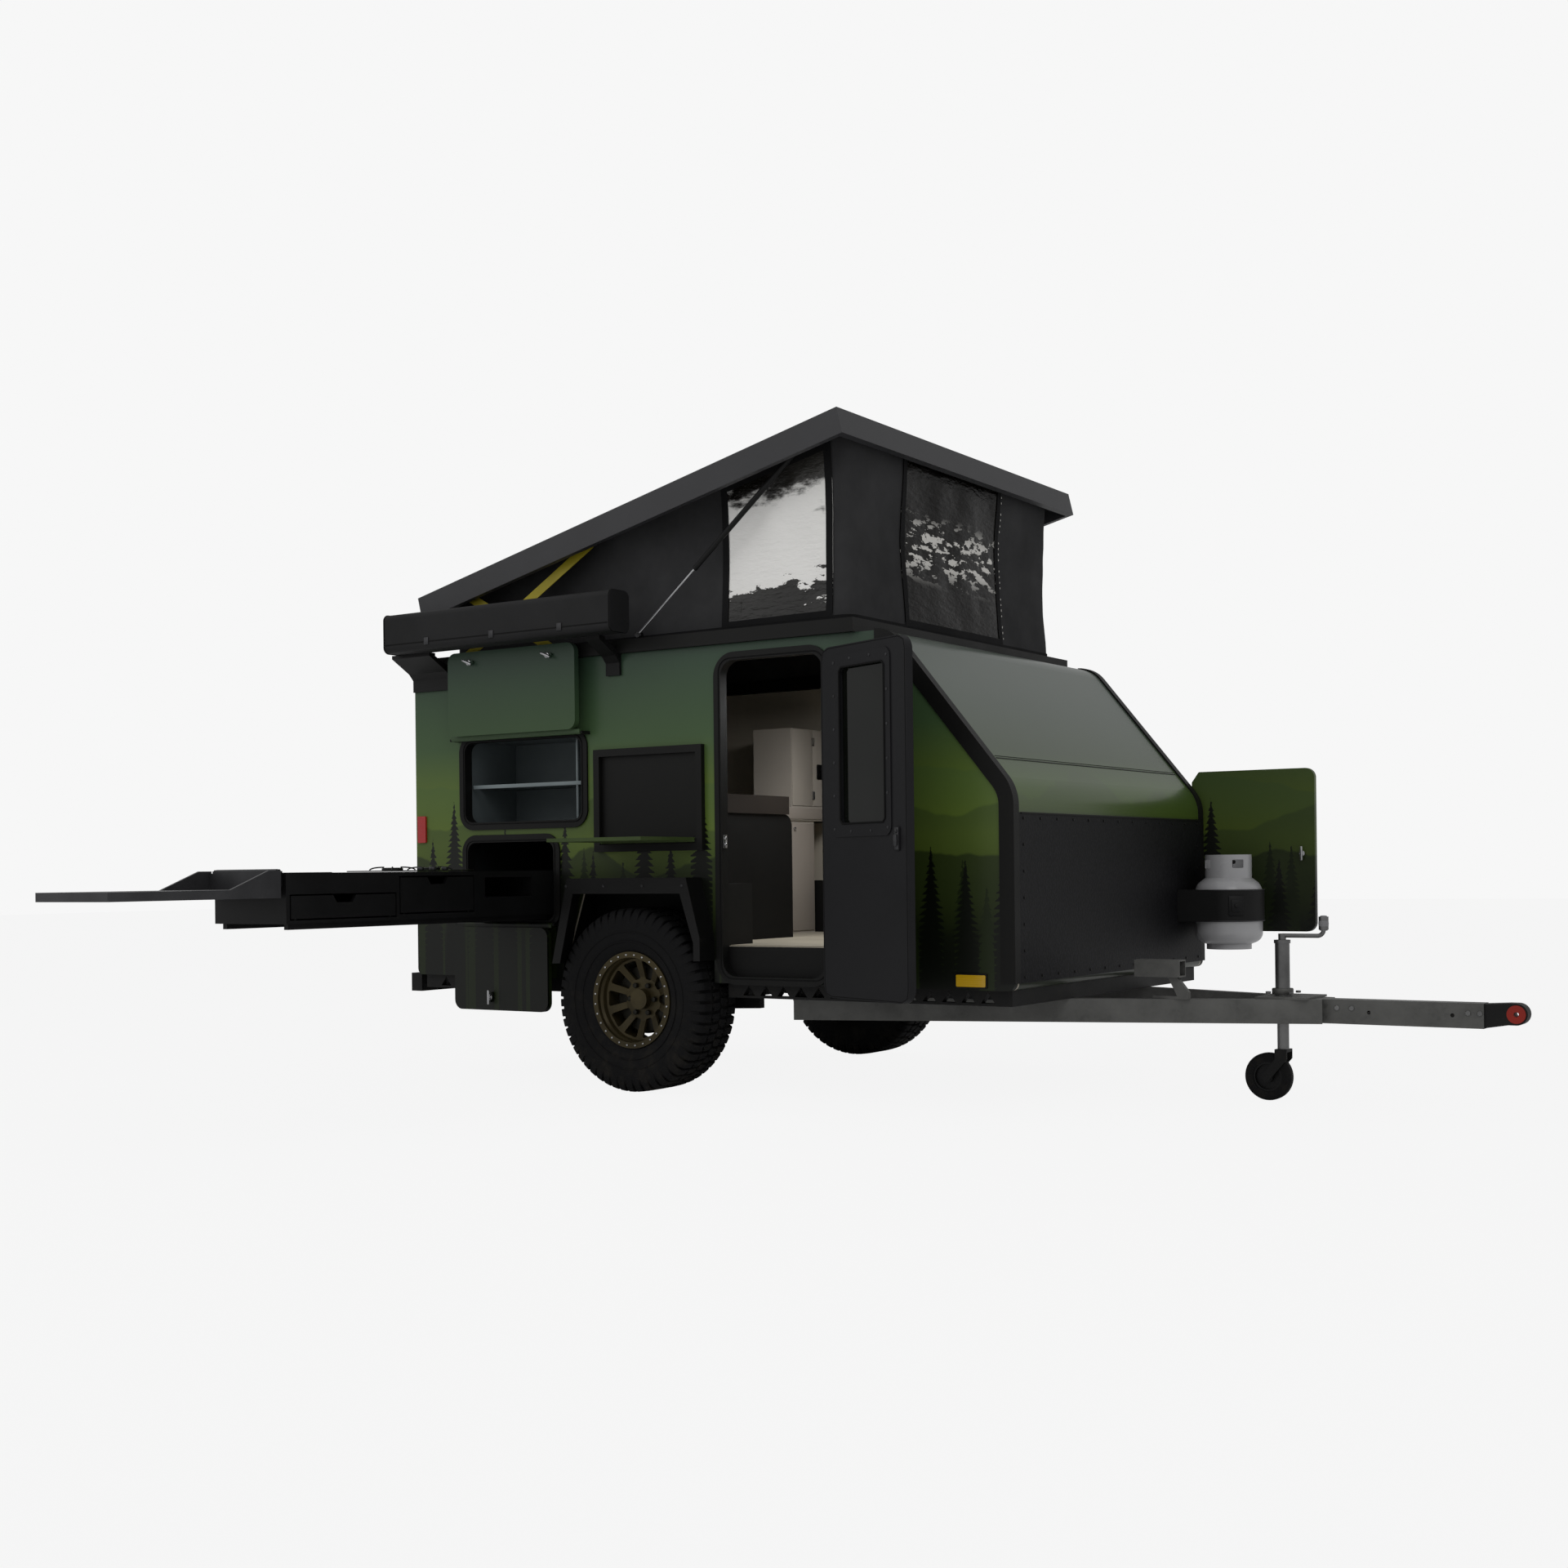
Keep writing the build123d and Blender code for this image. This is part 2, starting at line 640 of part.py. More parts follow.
# Flares over the wheels
with BuildPart() as fenders:
    for side in sides:
        with BuildSketch(Plane.XZ.offset(-side * half_width)):
            with BuildLine():
                Polyline(*[(axle_x + x, road_z + z) for x, z in flare], close=True)
            make_face()
            with BuildLine():
                Polyline(
                    *[(axle_x + x, road_z + z - flare_thick) for x, z in flare[1:3]],
                    (axle_x + flare[3][0] - flare_thick, road_z + flare[3][1]),
                    (axle_x + flare[4][0] - flare_thick, road_z + flare[4][1] - wall),
                    (axle_x + flare[0][0] + flare_thick, road_z + flare[0][1] - wall),
                    close=True,
                )
            make_face(mode=Mode.SUBTRACT)
        extrude(amount=-side * flare_reach)
        with BuildSketch(Plane.XZ.offset(-side * (half_width + flare_reach - flare_thick))):
            with BuildLine():
                Polyline(*[(axle_x + x, road_z + z) for x, z in flare], close=True)
            make_face()
            with BuildLine():
                Polyline(
                    (axle_x + flare[1][0] + flare_lip / 2, road_z + flare[1][1] - flare_lip),
                    (axle_x + flare[2][0] - flare_lip / 2, road_z + flare[2][1] - flare_lip),
                    (axle_x + flare[3][0] - flare_lip / 2, road_z + flare[3][1] - flare_lip / 3),
                    (axle_x + flare[4][0] - flare_lip / 2, road_z + flare[4][1] - wall),
                    (axle_x + flare[0][0] + flare_lip / 2, road_z + flare[0][1] - wall),
                    close=True,
                )
            make_face(mode=Mode.SUBTRACT)
        extrude(amount=-side * flare_thick)
fenders.part.label = "fenders"
export_step(fenders.part, "parts/fenders.step")

# Hinges: where each pin lies and how far its panel reaches from it
lug = 12
lug_half = 7
edge_gap = 14             # a panel's edge from its pin
strip_reach = 24
pantry_hinge_z = road_z + pantry_hole[1] + pantry_hole[3] / 2 + 14
pantry_panel = (axle_x - 1076, axle_x - 286)
pantry_reach = 413
galley_hinge_z = road_z + galley_hole[1] - galley_hole[3] / 2 - 17
galley_panel = (axle_x - 1052, axle_x - 468)
galley_reach = 406
door_hinge_x = axle_x + 1052
door_panel_z = (road_z + 460, road_z + 1915)
door_pin_z = (road_z + 506, road_z + 1894)
door_reach = 600
locker_hinge_x = axle_x + 1808
locker_pin_z = (road_z + 686, road_z + 1296)
locker_panel_z = (road_z + 672, road_z + 1450)
locker_reach = 622
lowest = (Align.CENTER, Align.CENTER, Align.MIN)


def hinge_lugs(frame, low, high, reach):
    """Two lugs and the pin between them; z runs along the pin, x away from the wall."""
    for start in (low, high - lug):
        with Locations(frame.offset(start)):
            Cylinder(lug_half, lug, align=lowest)
            Box(reach, 2 * lug_half, lug, align=(Align.MAX, Align.CENTER, Align.MIN))
    with Locations(frame.offset(low)):
        Cylinder(hinge_pin, high - low, align=lowest)


def hinge_barrel(frame, low, high, reach):
    """A barrel round a pin with the web to its panel, along y by the signed reach."""
    start = low + lug + seat_gap
    length = high - low - 2 * lug - 2 * seat_gap
    side_of_pin = Align.MIN if reach > 0 else Align.MAX
    with Locations(frame.offset(start)):
        Cylinder(hinge_radius, length, align=lowest)
        Box(lug, abs(reach), length, align=(Align.MIN, side_of_pin, Align.MIN))
        Cylinder(hinge_pin + seat_gap, length, align=lowest, mode=Mode.SUBTRACT)


pantry_pin = (pantry_panel[0] - move_gap - lug, pantry_panel[1] + move_gap + lug)
galley_pin = (galley_panel[0] - move_gap - lug, galley_panel[1] + move_gap + lug)
pantry_frame = Plane(origin=(0, -hinge_y, pantry_hinge_z), x_dir=(0, -1, 0), z_dir=(1, 0, 0))
galley_frame = Plane(origin=(0, -hinge_y, galley_hinge_z), x_dir=(0, -1, 0), z_dir=(1, 0, 0))
door_frame = Plane(origin=(door_hinge_x, -hinge_y, 0), x_dir=(0, -1, 0), z_dir=(0, 0, 1))
locker_frame = Plane(origin=(locker_hinge_x, hinge_y, 0), x_dir=(0, 1, 0), z_dir=(0, 0, 1))

# Frames of the openings: a flange on the face and a lining through the wall, with the hinge pins
with BuildPart() as opening_frames:
    for middle_x, middle_z, width, height, corner in right_holes:
        centre = (axle_x + middle_x, road_z + middle_z)
        with BuildSketch(Plane.XZ.offset(half_width - wall)):
            with Locations(centre):
                RectangleRounded(width + 2 * lining, height + 2 * lining, corner + lining)
                RectangleRounded(width, height, corner, mode=Mode.SUBTRACT)
        extrude(amount=wall)
        with BuildSketch(Plane.XZ.offset(half_width)):
            with Locations(centre):
                RectangleRounded(width + 2 * flange, height + 2 * flange, corner + flange)
                RectangleRounded(width, height, corner, mode=Mode.SUBTRACT)
        extrude(amount=flange_proud)
    locker_line = [(axle_x + x, road_z + z) for x, z in locker_hole]
    layers = [(half_width, lining, wall), (half_width + flange_proud, flange, flange_proud)]
    for plane_y, outer, depth in layers:
        with BuildSketch(Plane.XZ.offset(-plane_y)):
            with BuildLine():
                FilletPolyline(*locker_line, radius=locker_corner, close=True)
            clear = make_face(mode=Mode.PRIVATE)
            offset(clear, amount=outer)
            add(clear, mode=Mode.SUBTRACT)
        extrude(amount=depth)
    pin_reach = hinge_y - half_width
    hinge_lugs(pantry_frame, *pantry_pin, pin_reach)
    hinge_lugs(galley_frame, *galley_pin, pin_reach)
    hinge_lugs(door_frame, *door_pin_z, pin_reach)
    hinge_lugs(locker_frame, *locker_pin_z, pin_reach)
    strip_y = (-half_width - flange_proud, -half_width)
    for pin_x, pin_z in ((pantry_pin, pantry_hinge_z), (galley_pin, galley_hinge_z)):
        span_box(pin_x, strip_y, (pin_z - lug_half, pin_z + lug_half))
    span_box((door_hinge_x - strip_reach, door_hinge_x + lug_half), strip_y, door_pin_z)
    locker_strip_y = (half_width, half_width + flange_proud)
    span_box((locker_hinge_x - strip_reach - lug, locker_hinge_x + lug_half), locker_strip_y, locker_pin_z)
opening_frames.part.label = "opening_frames"
export_step(opening_frames.part, "parts/opening_frames.step")

# Pantry behind its opening: a box with a shelf and an upright
pantry_depth = 340
pantry_board = 12
pantry_half = (pantry_hole[2] / 2 + 20, pantry_hole[3] / 2 + 20)
pantry_middle = (axle_x + pantry_hole[0], road_z + pantry_hole[1])
pantry_x = (pantry_middle[0] - pantry_half[0], pantry_middle[0] + pantry_half[0])
pantry_z = (pantry_middle[1] - pantry_half[1], pantry_middle[1] + pantry_half[1])
pantry_y = (-inner_half + seat_gap, -inner_half + pantry_depth)
upright_x = pantry_x[1] - 105
shelf_z = road_z + 1405
with BuildPart() as pantry_box:
    span_box(pantry_x, pantry_y, pantry_z)
    span_box(
        (pantry_x[0] + pantry_board, pantry_x[1] - pantry_board),
        (pantry_y[0] - wall, pantry_y[1] - pantry_board),
        (pantry_z[0] + pantry_board, pantry_z[1] - pantry_board),
        mode=Mode.SUBTRACT,
    )
    span_box((pantry_x[0], pantry_x[1]), (pantry_y[0] + 60, pantry_y[1]), (shelf_z, shelf_z + pantry_board))
    span_box((upright_x, upright_x + pantry_board), (pantry_y[0] + 20, pantry_y[1]), pantry_z)
pantry_box.part.label = "pantry_box"
export_step(pantry_box.part, "parts/pantry_box.step")

# Bay that the kitchen slides in, with a guide strip under each runner
bay_x = (axle_x - 1048, axle_x - 474)
bay_y = (-inner_half + seat_gap, inner_half - seat_gap)
bay_board = 10
bay_z = (floor_top + 70, road_z + 1163)
guide_height = kitchen_bottom - runner_height - seat_gap - bay_z[0] - bay_board
runner_places = (kitchen_near_x - kitchen_width + 30, kitchen_near_x - 30)
with BuildPart() as kitchen_bay:
    span_box(bay_x, bay_y, bay_z)
    span_box(
        (bay_x[0] + bay_board, bay_x[1] - bay_board),
        (bay_y[0] - wall, bay_y[1] - bay_board),
        (bay_z[0] + bay_board, bay_z[1] - bay_board),
        mode=Mode.SUBTRACT,
    )
    for place in runner_places:
        guide_z = bay_z[0] + bay_board
        guide_x = (place - runner_width / 2, place + runner_width / 2)
        span_box(guide_x, (bay_y[0], bay_y[1]), (guide_z, guide_z + guide_height))
    for place in (bay_x[0] + bay_board / 2, bay_x[1] - bay_board / 2):
        foot = (place - bay_board / 2, place + bay_board / 2)
        span_box(foot, bay_y, (floor_top + seat_gap, bay_z[0]))
kitchen_bay.part.label = "kitchen_bay"
export_step(kitchen_bay.part, "parts/kitchen_bay.step")

# Fixed table frame on the wall, with its recessed board
table_x = (axle_x - 231, axle_x + 382)
table_z = (road_z + 1085, road_z + 1553)
table_bar = 33
table_proud = 26
table_recess = 4
table_lug = 6
table_hinge_y = half_width + 22
table_hinge_z = table_z[0] + table_bar + 12
table_hinge_frame = Plane(origin=(0, -table_hinge_y, table_hinge_z), x_dir=(0, 0, 1), z_dir=(1, 0, 0))
table_inside = (table_x[0] + table_bar, table_x[1] - table_bar)
with BuildPart() as table_frame:
    with BuildSketch(Plane.XZ.offset(half_width)):
        span_rectangle(table_x, table_z)
    extrude(amount=table_proud)
    span_box(
        table_inside,
        (-half_width - table_proud - 1, -half_width - table_recess),
        (table_z[0] + table_bar, table_z[1] - table_bar),
        mode=Mode.SUBTRACT,
    )
    with Locations(table_hinge_frame.offset(table_inside[0])):
        Cylinder(hinge_pin, table_inside[1] - table_inside[0], align=lowest)
    for start in (table_inside[0], table_inside[1] - table_lug):
        lug_y = (-table_hinge_y - lug_half, -half_width)
        span_box((start, start + table_lug), lug_y, (table_hinge_z - lug_half, table_hinge_z + lug_half))
table_frame.part.label = "table_frame"
export_step(table_frame.part, "parts/table_frame.step")

# Black cabinet with its slab, and the pale cabinets along the far wall
cabinet_base = floor_top
cabinet_top = road_z + 1265
cabinet_rear_x = pantry_x[1] + move_gap
cabinet_front_x = axle_x + 170
slab = 88
with BuildPart() as black_cabinet:
    with BuildSketch(Plane.YZ.offset(cabinet_rear_x)):
        with BuildLine():
            FilletPolyline(
                (-750, cabinet_base), (0, cabinet_base), (0, cabinet_top), (-750, cabinet_top),
                radius=[0, 0, 60, 0],
                close=True,
            )
        make_face()
    extrude(amount=cabinet_front_x - cabinet_rear_x)
black_cabinet.part.label = "black_cabinet"
export_step(black_cabinet.part, "parts/black_cabinet.step")

with BuildPart() as cabinet_slab:
    span_box((cabinet_rear_x, cabinet_front_x + 12), (-750, -40), (cabinet_top, cabinet_top + slab))
cabinet_slab.part.label = "cabinet_slab"
export_step(cabinet_slab.part, "parts/cabinet_slab.step")

with BuildPart() as pale_cabinets:
    span_box((axle_x - 440, axle_x - 180), (330, well_inner_y - 12), (cabinet_base, cabinet_top - 10))
    span_box((axle_x - 440, axle_x - 170), (320, inner_half), (cabinet_top - 10, cabinet_top + 60))
    span_box((axle_x - 440, axle_x - 200), (560, inner_half), (cabinet_top + 60, road_z + 1745))
pale_cabinets.part.label = "pale_cabinets"
export_step(pale_cabinets.part, "parts/pale_cabinets.step")

# Rolled awning in its case, on two brackets
with BuildPart() as awning_case:
    with BuildSketch(Plane.YZ.offset(awning_rear_x)):
        with Locations((-awning_y, awning_bottom + awning_height / 2)):
            RectangleRounded(awning_depth, awning_height, awning_corner)
    extrude(amount=awning_front_x - awning_rear_x)
awning_case.part.label = "awning_case"
export_step(awning_case.part, "parts/awning_case.step")

awning_back = -(awning_y - awning_depth / 2)
bracket_foot = road_z + 1888
# Brackets: place of the rear edge ahead of the axle, width
bracket_places = [(-1378, 250), (-160, 80)]
with BuildPart() as awning_brackets:
    for place, width in bracket_places:
        with BuildSketch(Plane.YZ.offset(axle_x + place)):
            rail_side = -(half_width + rail_overhang)
            with BuildLine():
                Polyline(
                    (-half_width, bracket_foot),
                    (-half_width - 14, bracket_foot),
                    (-half_width - 14, wall_top - 40),
                    (rail_side - 12, wall_top - 10),
                    (awning_back - 40, awning_bottom - 16),
                    (awning_back - 40, awning_bottom),
                    (awning_back, awning_bottom),
                    (awning_back, awning_bottom - 14),
                    (rail_side, wall_top + 16),
                    (rail_side, wall_top),
                    (-half_width, wall_top),
                    close=True,
                )
            make_face()
        extrude(amount=width)
awning_brackets.part.label = "awning_brackets"
export_step(awning_brackets.part, "parts/awning_brackets.step")

# Gas bottle with its collar, and the bracket that holds it to the guard
bottle_radius = 156
bottle_x = nose_x + guard_thick + 34 + bottle_radius
bottle_y = half_width - 173
bottle_base = road_z + 596
bottle_height = 330
collar_radius = 108
with BuildPart() as gas_bottle:
    bottle_plane = Plane(origin=(bottle_x, bottle_y, bottle_base), x_dir=(1, 0, 0), z_dir=(0, -1, 0))
    with BuildSketch(bottle_plane):
        with BuildLine():
            FilletPolyline(
                (0, 26), (0, 12), (98, 12), (98, 0), (104, 0), (104, 24), (bottle_radius, 44),
                (bottle_radius, bottle_height - 30), (86, bottle_height + 22), (0, bottle_height + 22),
                radius=[0, 0, 0, 0, 0, 50, 70, 60],
            )
            Line((0, bottle_height + 22), (0, 26))
        make_face()
    revolve(axis=Axis((bottle_x, bottle_y, bottle_base), (0, 0, 1)))
    with BuildSketch(Plane(origin=(bottle_x, bottle_y, bottle_base + bottle_height - 12), z_dir=(0, 0, 1))):
        Circle(collar_radius)
        Circle(collar_radius - 4, mode=Mode.SUBTRACT)
    extrude(amount=127)
    for turn in (0, 90):
        window_plane = Plane(
            origin=(bottle_x, bottle_y, bottle_base + bottle_height + 72),
            x_dir=(-sin(radians(turn + 45)), cos(radians(turn + 45)), 0),
            z_dir=(cos(radians(turn + 45)), sin(radians(turn + 45)), 0),
        )
        with BuildSketch(window_plane.offset(-bottle_radius)):
            RectangleRounded(56, 40, 6)
        extrude(amount=2 * bottle_radius, mode=Mode.SUBTRACT)
    with BuildSketch(Plane(origin=(bottle_x, bottle_y, bottle_base + bottle_height), z_dir=(0, 0, 1))):
        Circle(22)
    extrude(amount=70)
gas_bottle.part.label = "gas_bottle"
export_step(gas_bottle.part, "parts/gas_bottle.step")

band_bottom = bottle_base + 132
band_height = 150
with BuildPart() as bottle_bracket:
    with BuildSketch(Plane.XY.offset(band_bottom)):
        with Locations((bottle_x, bottle_y)):
            Circle(bottle_radius + 8)
        saddle_y = (bottle_y - bottle_radius - 8, bottle_y + bottle_radius + 8)
        span_rectangle((nose_x + guard_thick, bottle_x), saddle_y)
        with Locations((bottle_x, bottle_y)):
            Circle(bottle_radius + seat_gap, mode=Mode.SUBTRACT)
        span_rectangle(
            (nose_x + guard_thick + 8, bottle_x - 60),
            (bottle_y - bottle_radius, bottle_y + bottle_radius),
            mode=Mode.SUBTRACT,
        )
    extrude(amount=band_height)
bottle_bracket.part.label = "bottle_bracket"
export_step(bottle_bracket.part, "parts/bottle_bracket.step")

# Jack: outer tube in the plate with its crank, inner leg, fork and small wheel
crank_reach = 176
crank_z = jack_tube_top + 14
crank_rod = 9
with BuildPart() as jack_tube:
    with BuildSketch(Plane.XY.offset(jack_tube_bottom)):
        with Locations((jack_x, 0)):
            Circle(jack_tube_radius)
            Circle(jack_leg_radius + seat_gap, mode=Mode.SUBTRACT)
    extrude(amount=jack_tube_top - jack_tube_bottom)
    with BuildSketch(Plane.XY.offset(jack_tube_top)):
        with Locations((jack_x, 0)):
            Circle(jack_tube_radius + 4)
    extrude(amount=14)
    with BuildSketch(Plane.XY.offset(crank_z)):
        with Locations((jack_x, 0)):
            Circle(16)
    extrude(amount=26)
    with BuildLine():
        crank_line = FilletPolyline(
            (jack_x, 0, crank_z + 18), (jack_x + crank_reach, 0, crank_z + 18),
            (jack_x + crank_reach, 0, crank_z + 60),
            radius=26,
        )
    with BuildSketch(Plane(origin=crank_line @ 0, z_dir=crank_line % 0)):
        Circle(crank_rod)
    sweep()
    with BuildSketch(Plane.XY.offset(crank_z + 44)):
        with Locations((jack_x + crank_reach, 0)):
            Circle(20)
    extrude(amount=54)
jack_tube.part.label = "jack_tube"
export_step(jack_tube.part, "parts/jack_tube.step")

# Leg, fork and wheel of the jack
leg_top = road_z + 480
leg_bottom = road_z + 218
swivel_radius = 12
swivel_length = 40
with BuildPart() as jack_leg:
    with BuildSketch(Plane.XY.offset(leg_bottom)):
        with Locations((jack_x, 0)):
            Circle(jack_leg_radius)
    extrude(amount=leg_top - leg_bottom)
    with BuildSketch(Plane.XY.offset(leg_bottom)):
        with Locations((jack_x, 0)):
            Circle(swivel_radius + seat_gap)
    extrude(amount=swivel_length + seat_gap, mode=Mode.SUBTRACT)
jack_leg.part.label = "jack_leg"
export_step(jack_leg.part, "parts/jack_leg.step")

fork_half = jockey_width / 2 + move_gap
fork_top = leg_bottom - seat_gap
fork_plate = 12
jockey_x = jack_x - jockey_trail
jockey_z = road_z + jockey_radius
jockey_pin = 8
with BuildPart() as jockey_fork:
    with BuildSketch(Plane.XY.offset(fork_top - fork_plate)):
        with Locations((jack_x, 0)):
            Rectangle(2 * jack_leg_radius + 4, 2 * (fork_half + fork_thick))
    extrude(amount=fork_plate)
    with BuildSketch(Plane.XY.offset(fork_top)):
        with Locations((jack_x, 0)):
            Circle(swivel_radius)
    extrude(amount=swivel_length)
    for side in sides:
        with BuildSketch(Plane.XZ.offset(-side * fork_half)):
            with BuildLine():
                Polyline(
                    (jack_x - jack_leg_radius - 2, fork_top),
                    (jack_x + jack_leg_radius + 2, fork_top),
                    (jack_x + jack_leg_radius + 2, fork_top - 40),
                    (jockey_x + 16, jockey_z - 8),
                    (jockey_x - 16, jockey_z + 8),
                    (jack_x - jack_leg_radius - 2, fork_top - 40),
                    close=True,
                )
            make_face()
            with Locations((jockey_x, jockey_z)):
                Circle(18)
        extrude(amount=-side * fork_thick)
    with BuildSketch(Plane.XZ.offset(-fork_half - fork_thick)):
        with Locations((jockey_x, jockey_z)):
            Circle(jockey_pin)
    extrude(amount=2 * (fork_half + fork_thick))
jockey_fork.part.label = "jockey_fork"
export_step(jockey_fork.part, "parts/jockey_fork.step")

jockey_rim_radius = 62
jockey_hub = 24
with BuildPart() as jockey_rim:
    with BuildSketch(Plane.XZ.offset(-jockey_width / 2 + 4)):
        with Locations((jockey_x, jockey_z)):
            Circle(jockey_rim_radius)
            Circle(jockey_rim_radius - 8, mode=Mode.SUBTRACT)
    extrude(amount=jockey_width - 8)
    with BuildSketch(Plane.XZ.offset(-6)):
        with Locations((jockey_x, jockey_z)):
            Circle(jockey_rim_radius - 4)
    extrude(amount=12)
    with BuildSketch(Plane.XZ.offset(-fork_half + seat_gap)):
        with Locations((jockey_x, jockey_z)):
            Circle(jockey_hub)
    extrude(amount=2 * (fork_half - seat_gap))
    with BuildSketch(Plane.XZ.offset(-fork_half)):
        with Locations((jockey_x, jockey_z)):
            Circle(jockey_pin + seat_gap)
    extrude(amount=2 * fork_half, mode=Mode.SUBTRACT)
jockey_rim.part.label = "jockey_rim"
export_step(jockey_rim.part, "parts/jockey_rim.step")

with BuildPart() as jockey_tyre:
    with BuildSketch(Plane.XZ.offset(-jockey_width / 2)):
        with Locations((jockey_x, jockey_z)):
            Circle(jockey_radius)
            Circle(jockey_rim_radius + seat_gap, mode=Mode.SUBTRACT)
    extrude(amount=jockey_width)
    fillet(jockey_tyre.edges().filter_by(GeomType.CIRCLE).group_by(SortBy.RADIUS)[-1], radius=14)
jockey_tyre.part.label = "jockey_tyre"
export_step(jockey_tyre.part, "parts/jockey_tyre.step")

# Lamps and reflectors: centre ahead of the axle, centre above the road, width, height
lamp_proud = 10
side_lamps = [(-1337, 1212, 54, 130), (1698, 538, 132, 48)]
with BuildPart() as lamps:
    for side in sides:
        for middle_x, middle_z, width, height in side_lamps:
            with BuildSketch(Plane.XZ.offset(-side * half_width)):
                with Locations((axle_x + middle_x, road_z + middle_z)):
                    RectangleRounded(width, height, 5)
            extrude(amount=-side * lamp_proud)
    for side in sides:
        with BuildSketch(Plane.YZ.offset(rear_x)):
            with Locations((side * (half_width - 155), road_z + 1000)):
                RectangleRounded(130, 330, 12)
        extrude(amount=-28)
lamps.part.label = "lamps"
export_step(lamps.part, "parts/lamps.step")

# Rear bumper with a blank plate
bumper_height = 90
bumper_depth = 70
with BuildPart() as rear_bumper:
    bumper_y = (85 - half_width, half_width - 85)
    span_box((rear_x - 60 - bumper_depth, rear_x - 60), bumper_y, (sill_z - bumper_height, sill_z))
    for side in sides:
        post_y = sorted((side * main_rail_y, side * (main_rail_y - main_rail_width)))
        span_box((rear_x - 60, chassis_rear_x), post_y, (chassis_bottom, sill_z - 1))
    plate_x = (rear_x - 60 - bumper_depth - 4, rear_x - 60 - bumper_depth)
    span_box(plate_x, (-150, 150), (sill_z - 84, sill_z + 66))
rear_bumper.part.label = "rear_bumper"
export_step(rear_bumper.part, "parts/rear_bumper.step")

# Fixed windows in the left and the rear wall
window_bar = 26
window_glass = 5
with BuildPart() as window_frames:
    for plane, hole in (
        (Plane.XZ.offset(-half_width), (axle_x + window_hole[0], *window_hole[1:])),
        (Plane.YZ.offset(rear_x), rear_window),
    ):
        middle, height, wide, tall, corner = hole
        with BuildSketch(plane):
            with Locations((middle, road_z + height)):
                RectangleRounded(wide + 2 * window_bar, tall + 2 * window_bar, corner + window_bar)
                RectangleRounded(wide - 2 * lining, tall - 2 * lining, corner - lining, mode=Mode.SUBTRACT)
        extrude(amount=-lining)
        with BuildSketch(plane):
            with Locations((middle, road_z + height)):
                RectangleRounded(wide, tall, corner)
                RectangleRounded(wide - 2 * lining, tall - 2 * lining, corner - lining, mode=Mode.SUBTRACT)
        extrude(amount=wall)
window_frames.part.label = "window_frames"
export_step(window_frames.part, "parts/window_frames.step")

with BuildPart() as window_panes:
    for plane, hole in (
        (Plane.XZ.offset(-half_width), (axle_x + window_hole[0], *window_hole[1:])),
        (Plane.YZ.offset(rear_x), rear_window),
    ):
        middle, height, wide, tall, corner = hole
        with BuildSketch(plane.offset(2)):
            with Locations((middle, road_z + height)):
                RectangleRounded(wide - 2 * lining, tall - 2 * lining, corner - lining)
        extrude(amount=window_glass)
window_panes.part.label = "window_panes"
export_step(window_panes.part, "parts/window_panes.step")

# Canvas between the top rail and the lid
lid_front_under = lid_line(canvas_front_x, lid_under) - seat_gap
lid_rear_under = lid_line(canvas_rear_x, lid_under) - seat_gap
canvas_base = rail_top + seat_gap
with BuildPart() as canvas:
    with BuildSketch(Plane.XZ.offset(-canvas_half)):
        with BuildLine():
            Polyline(
                (canvas_rear_x, canvas_base),
                (canvas_front_x, canvas_base),
                (canvas_front_x, lid_front_under),
                (canvas_rear_x, lid_rear_under),
                close=True,
            )
        make_face()
    extrude(amount=2 * canvas_half)
    with BuildSketch(Plane.XZ.offset(-canvas_half + canvas_thick)):
        with BuildLine():
            Polyline(
                (canvas_rear_x + canvas_thick, canvas_base - 1),
                (canvas_front_x - canvas_thick, canvas_base - 1),
                (canvas_front_x - canvas_thick, lid_front_under + 9),
                (canvas_rear_x + canvas_thick, lid_rear_under + 9),
                close=True,
            )
        make_face()
    extrude(amount=2 * (canvas_half - canvas_thick), mode=Mode.SUBTRACT)
canvas.part.label = "canvas"
export_step(canvas.part, "parts/canvas.step")

# Lid: a fascia ring and the roof panel inside it, with a stud for each strut
strut_head = lid_plane.to_local_coords(Vector(strut_head_x, 0, lid_line(strut_head_x, 0)))
strut_head_up = 44
with BuildPart() as lid_fascia:
    with BuildSketch(lid_plane):
        span_rectangle((0, lid_length), (-lid_half_width, lid_half_width))
        inner_y = lid_half_width - fascia
        span_rectangle((fascia, lid_length - fascia), (-inner_y, inner_y), mode=Mode.SUBTRACT)
    extrude(amount=lid_height)
    for side in sides:
        stud_foot = Vector(strut_head.X, side * (lid_half_width - fascia), strut_head_up)
        stud_origin = lid_plane.from_local_coords(stud_foot)
        stud_plane = Plane(origin=stud_origin, x_dir=lid_along, z_dir=(0, -side, 0))
        with BuildSketch(stud_plane):
            Circle(10)
        extrude(amount=lid_half_width - fascia - strut_y - eye_width / 2 - move_gap)
        with BuildSketch(stud_plane):
            Circle(strut_pin)
        extrude(amount=lid_half_width - fascia - strut_y + eye_width / 2 + 2)
lid_fascia.part.label = "lid_fascia"
export_step(lid_fascia.part, "parts/lid_fascia.step")

with BuildPart() as lid_roof:
    with BuildSketch(lid_plane.offset(lid_under)):
        inner_y = lid_half_width - fascia
        span_rectangle((fascia, lid_length - fascia), (-inner_y, inner_y))
    extrude(amount=lid_panel)
lid_roof.part.label = "lid_roof"
export_step(lid_roof.part, "parts/lid_roof.step")

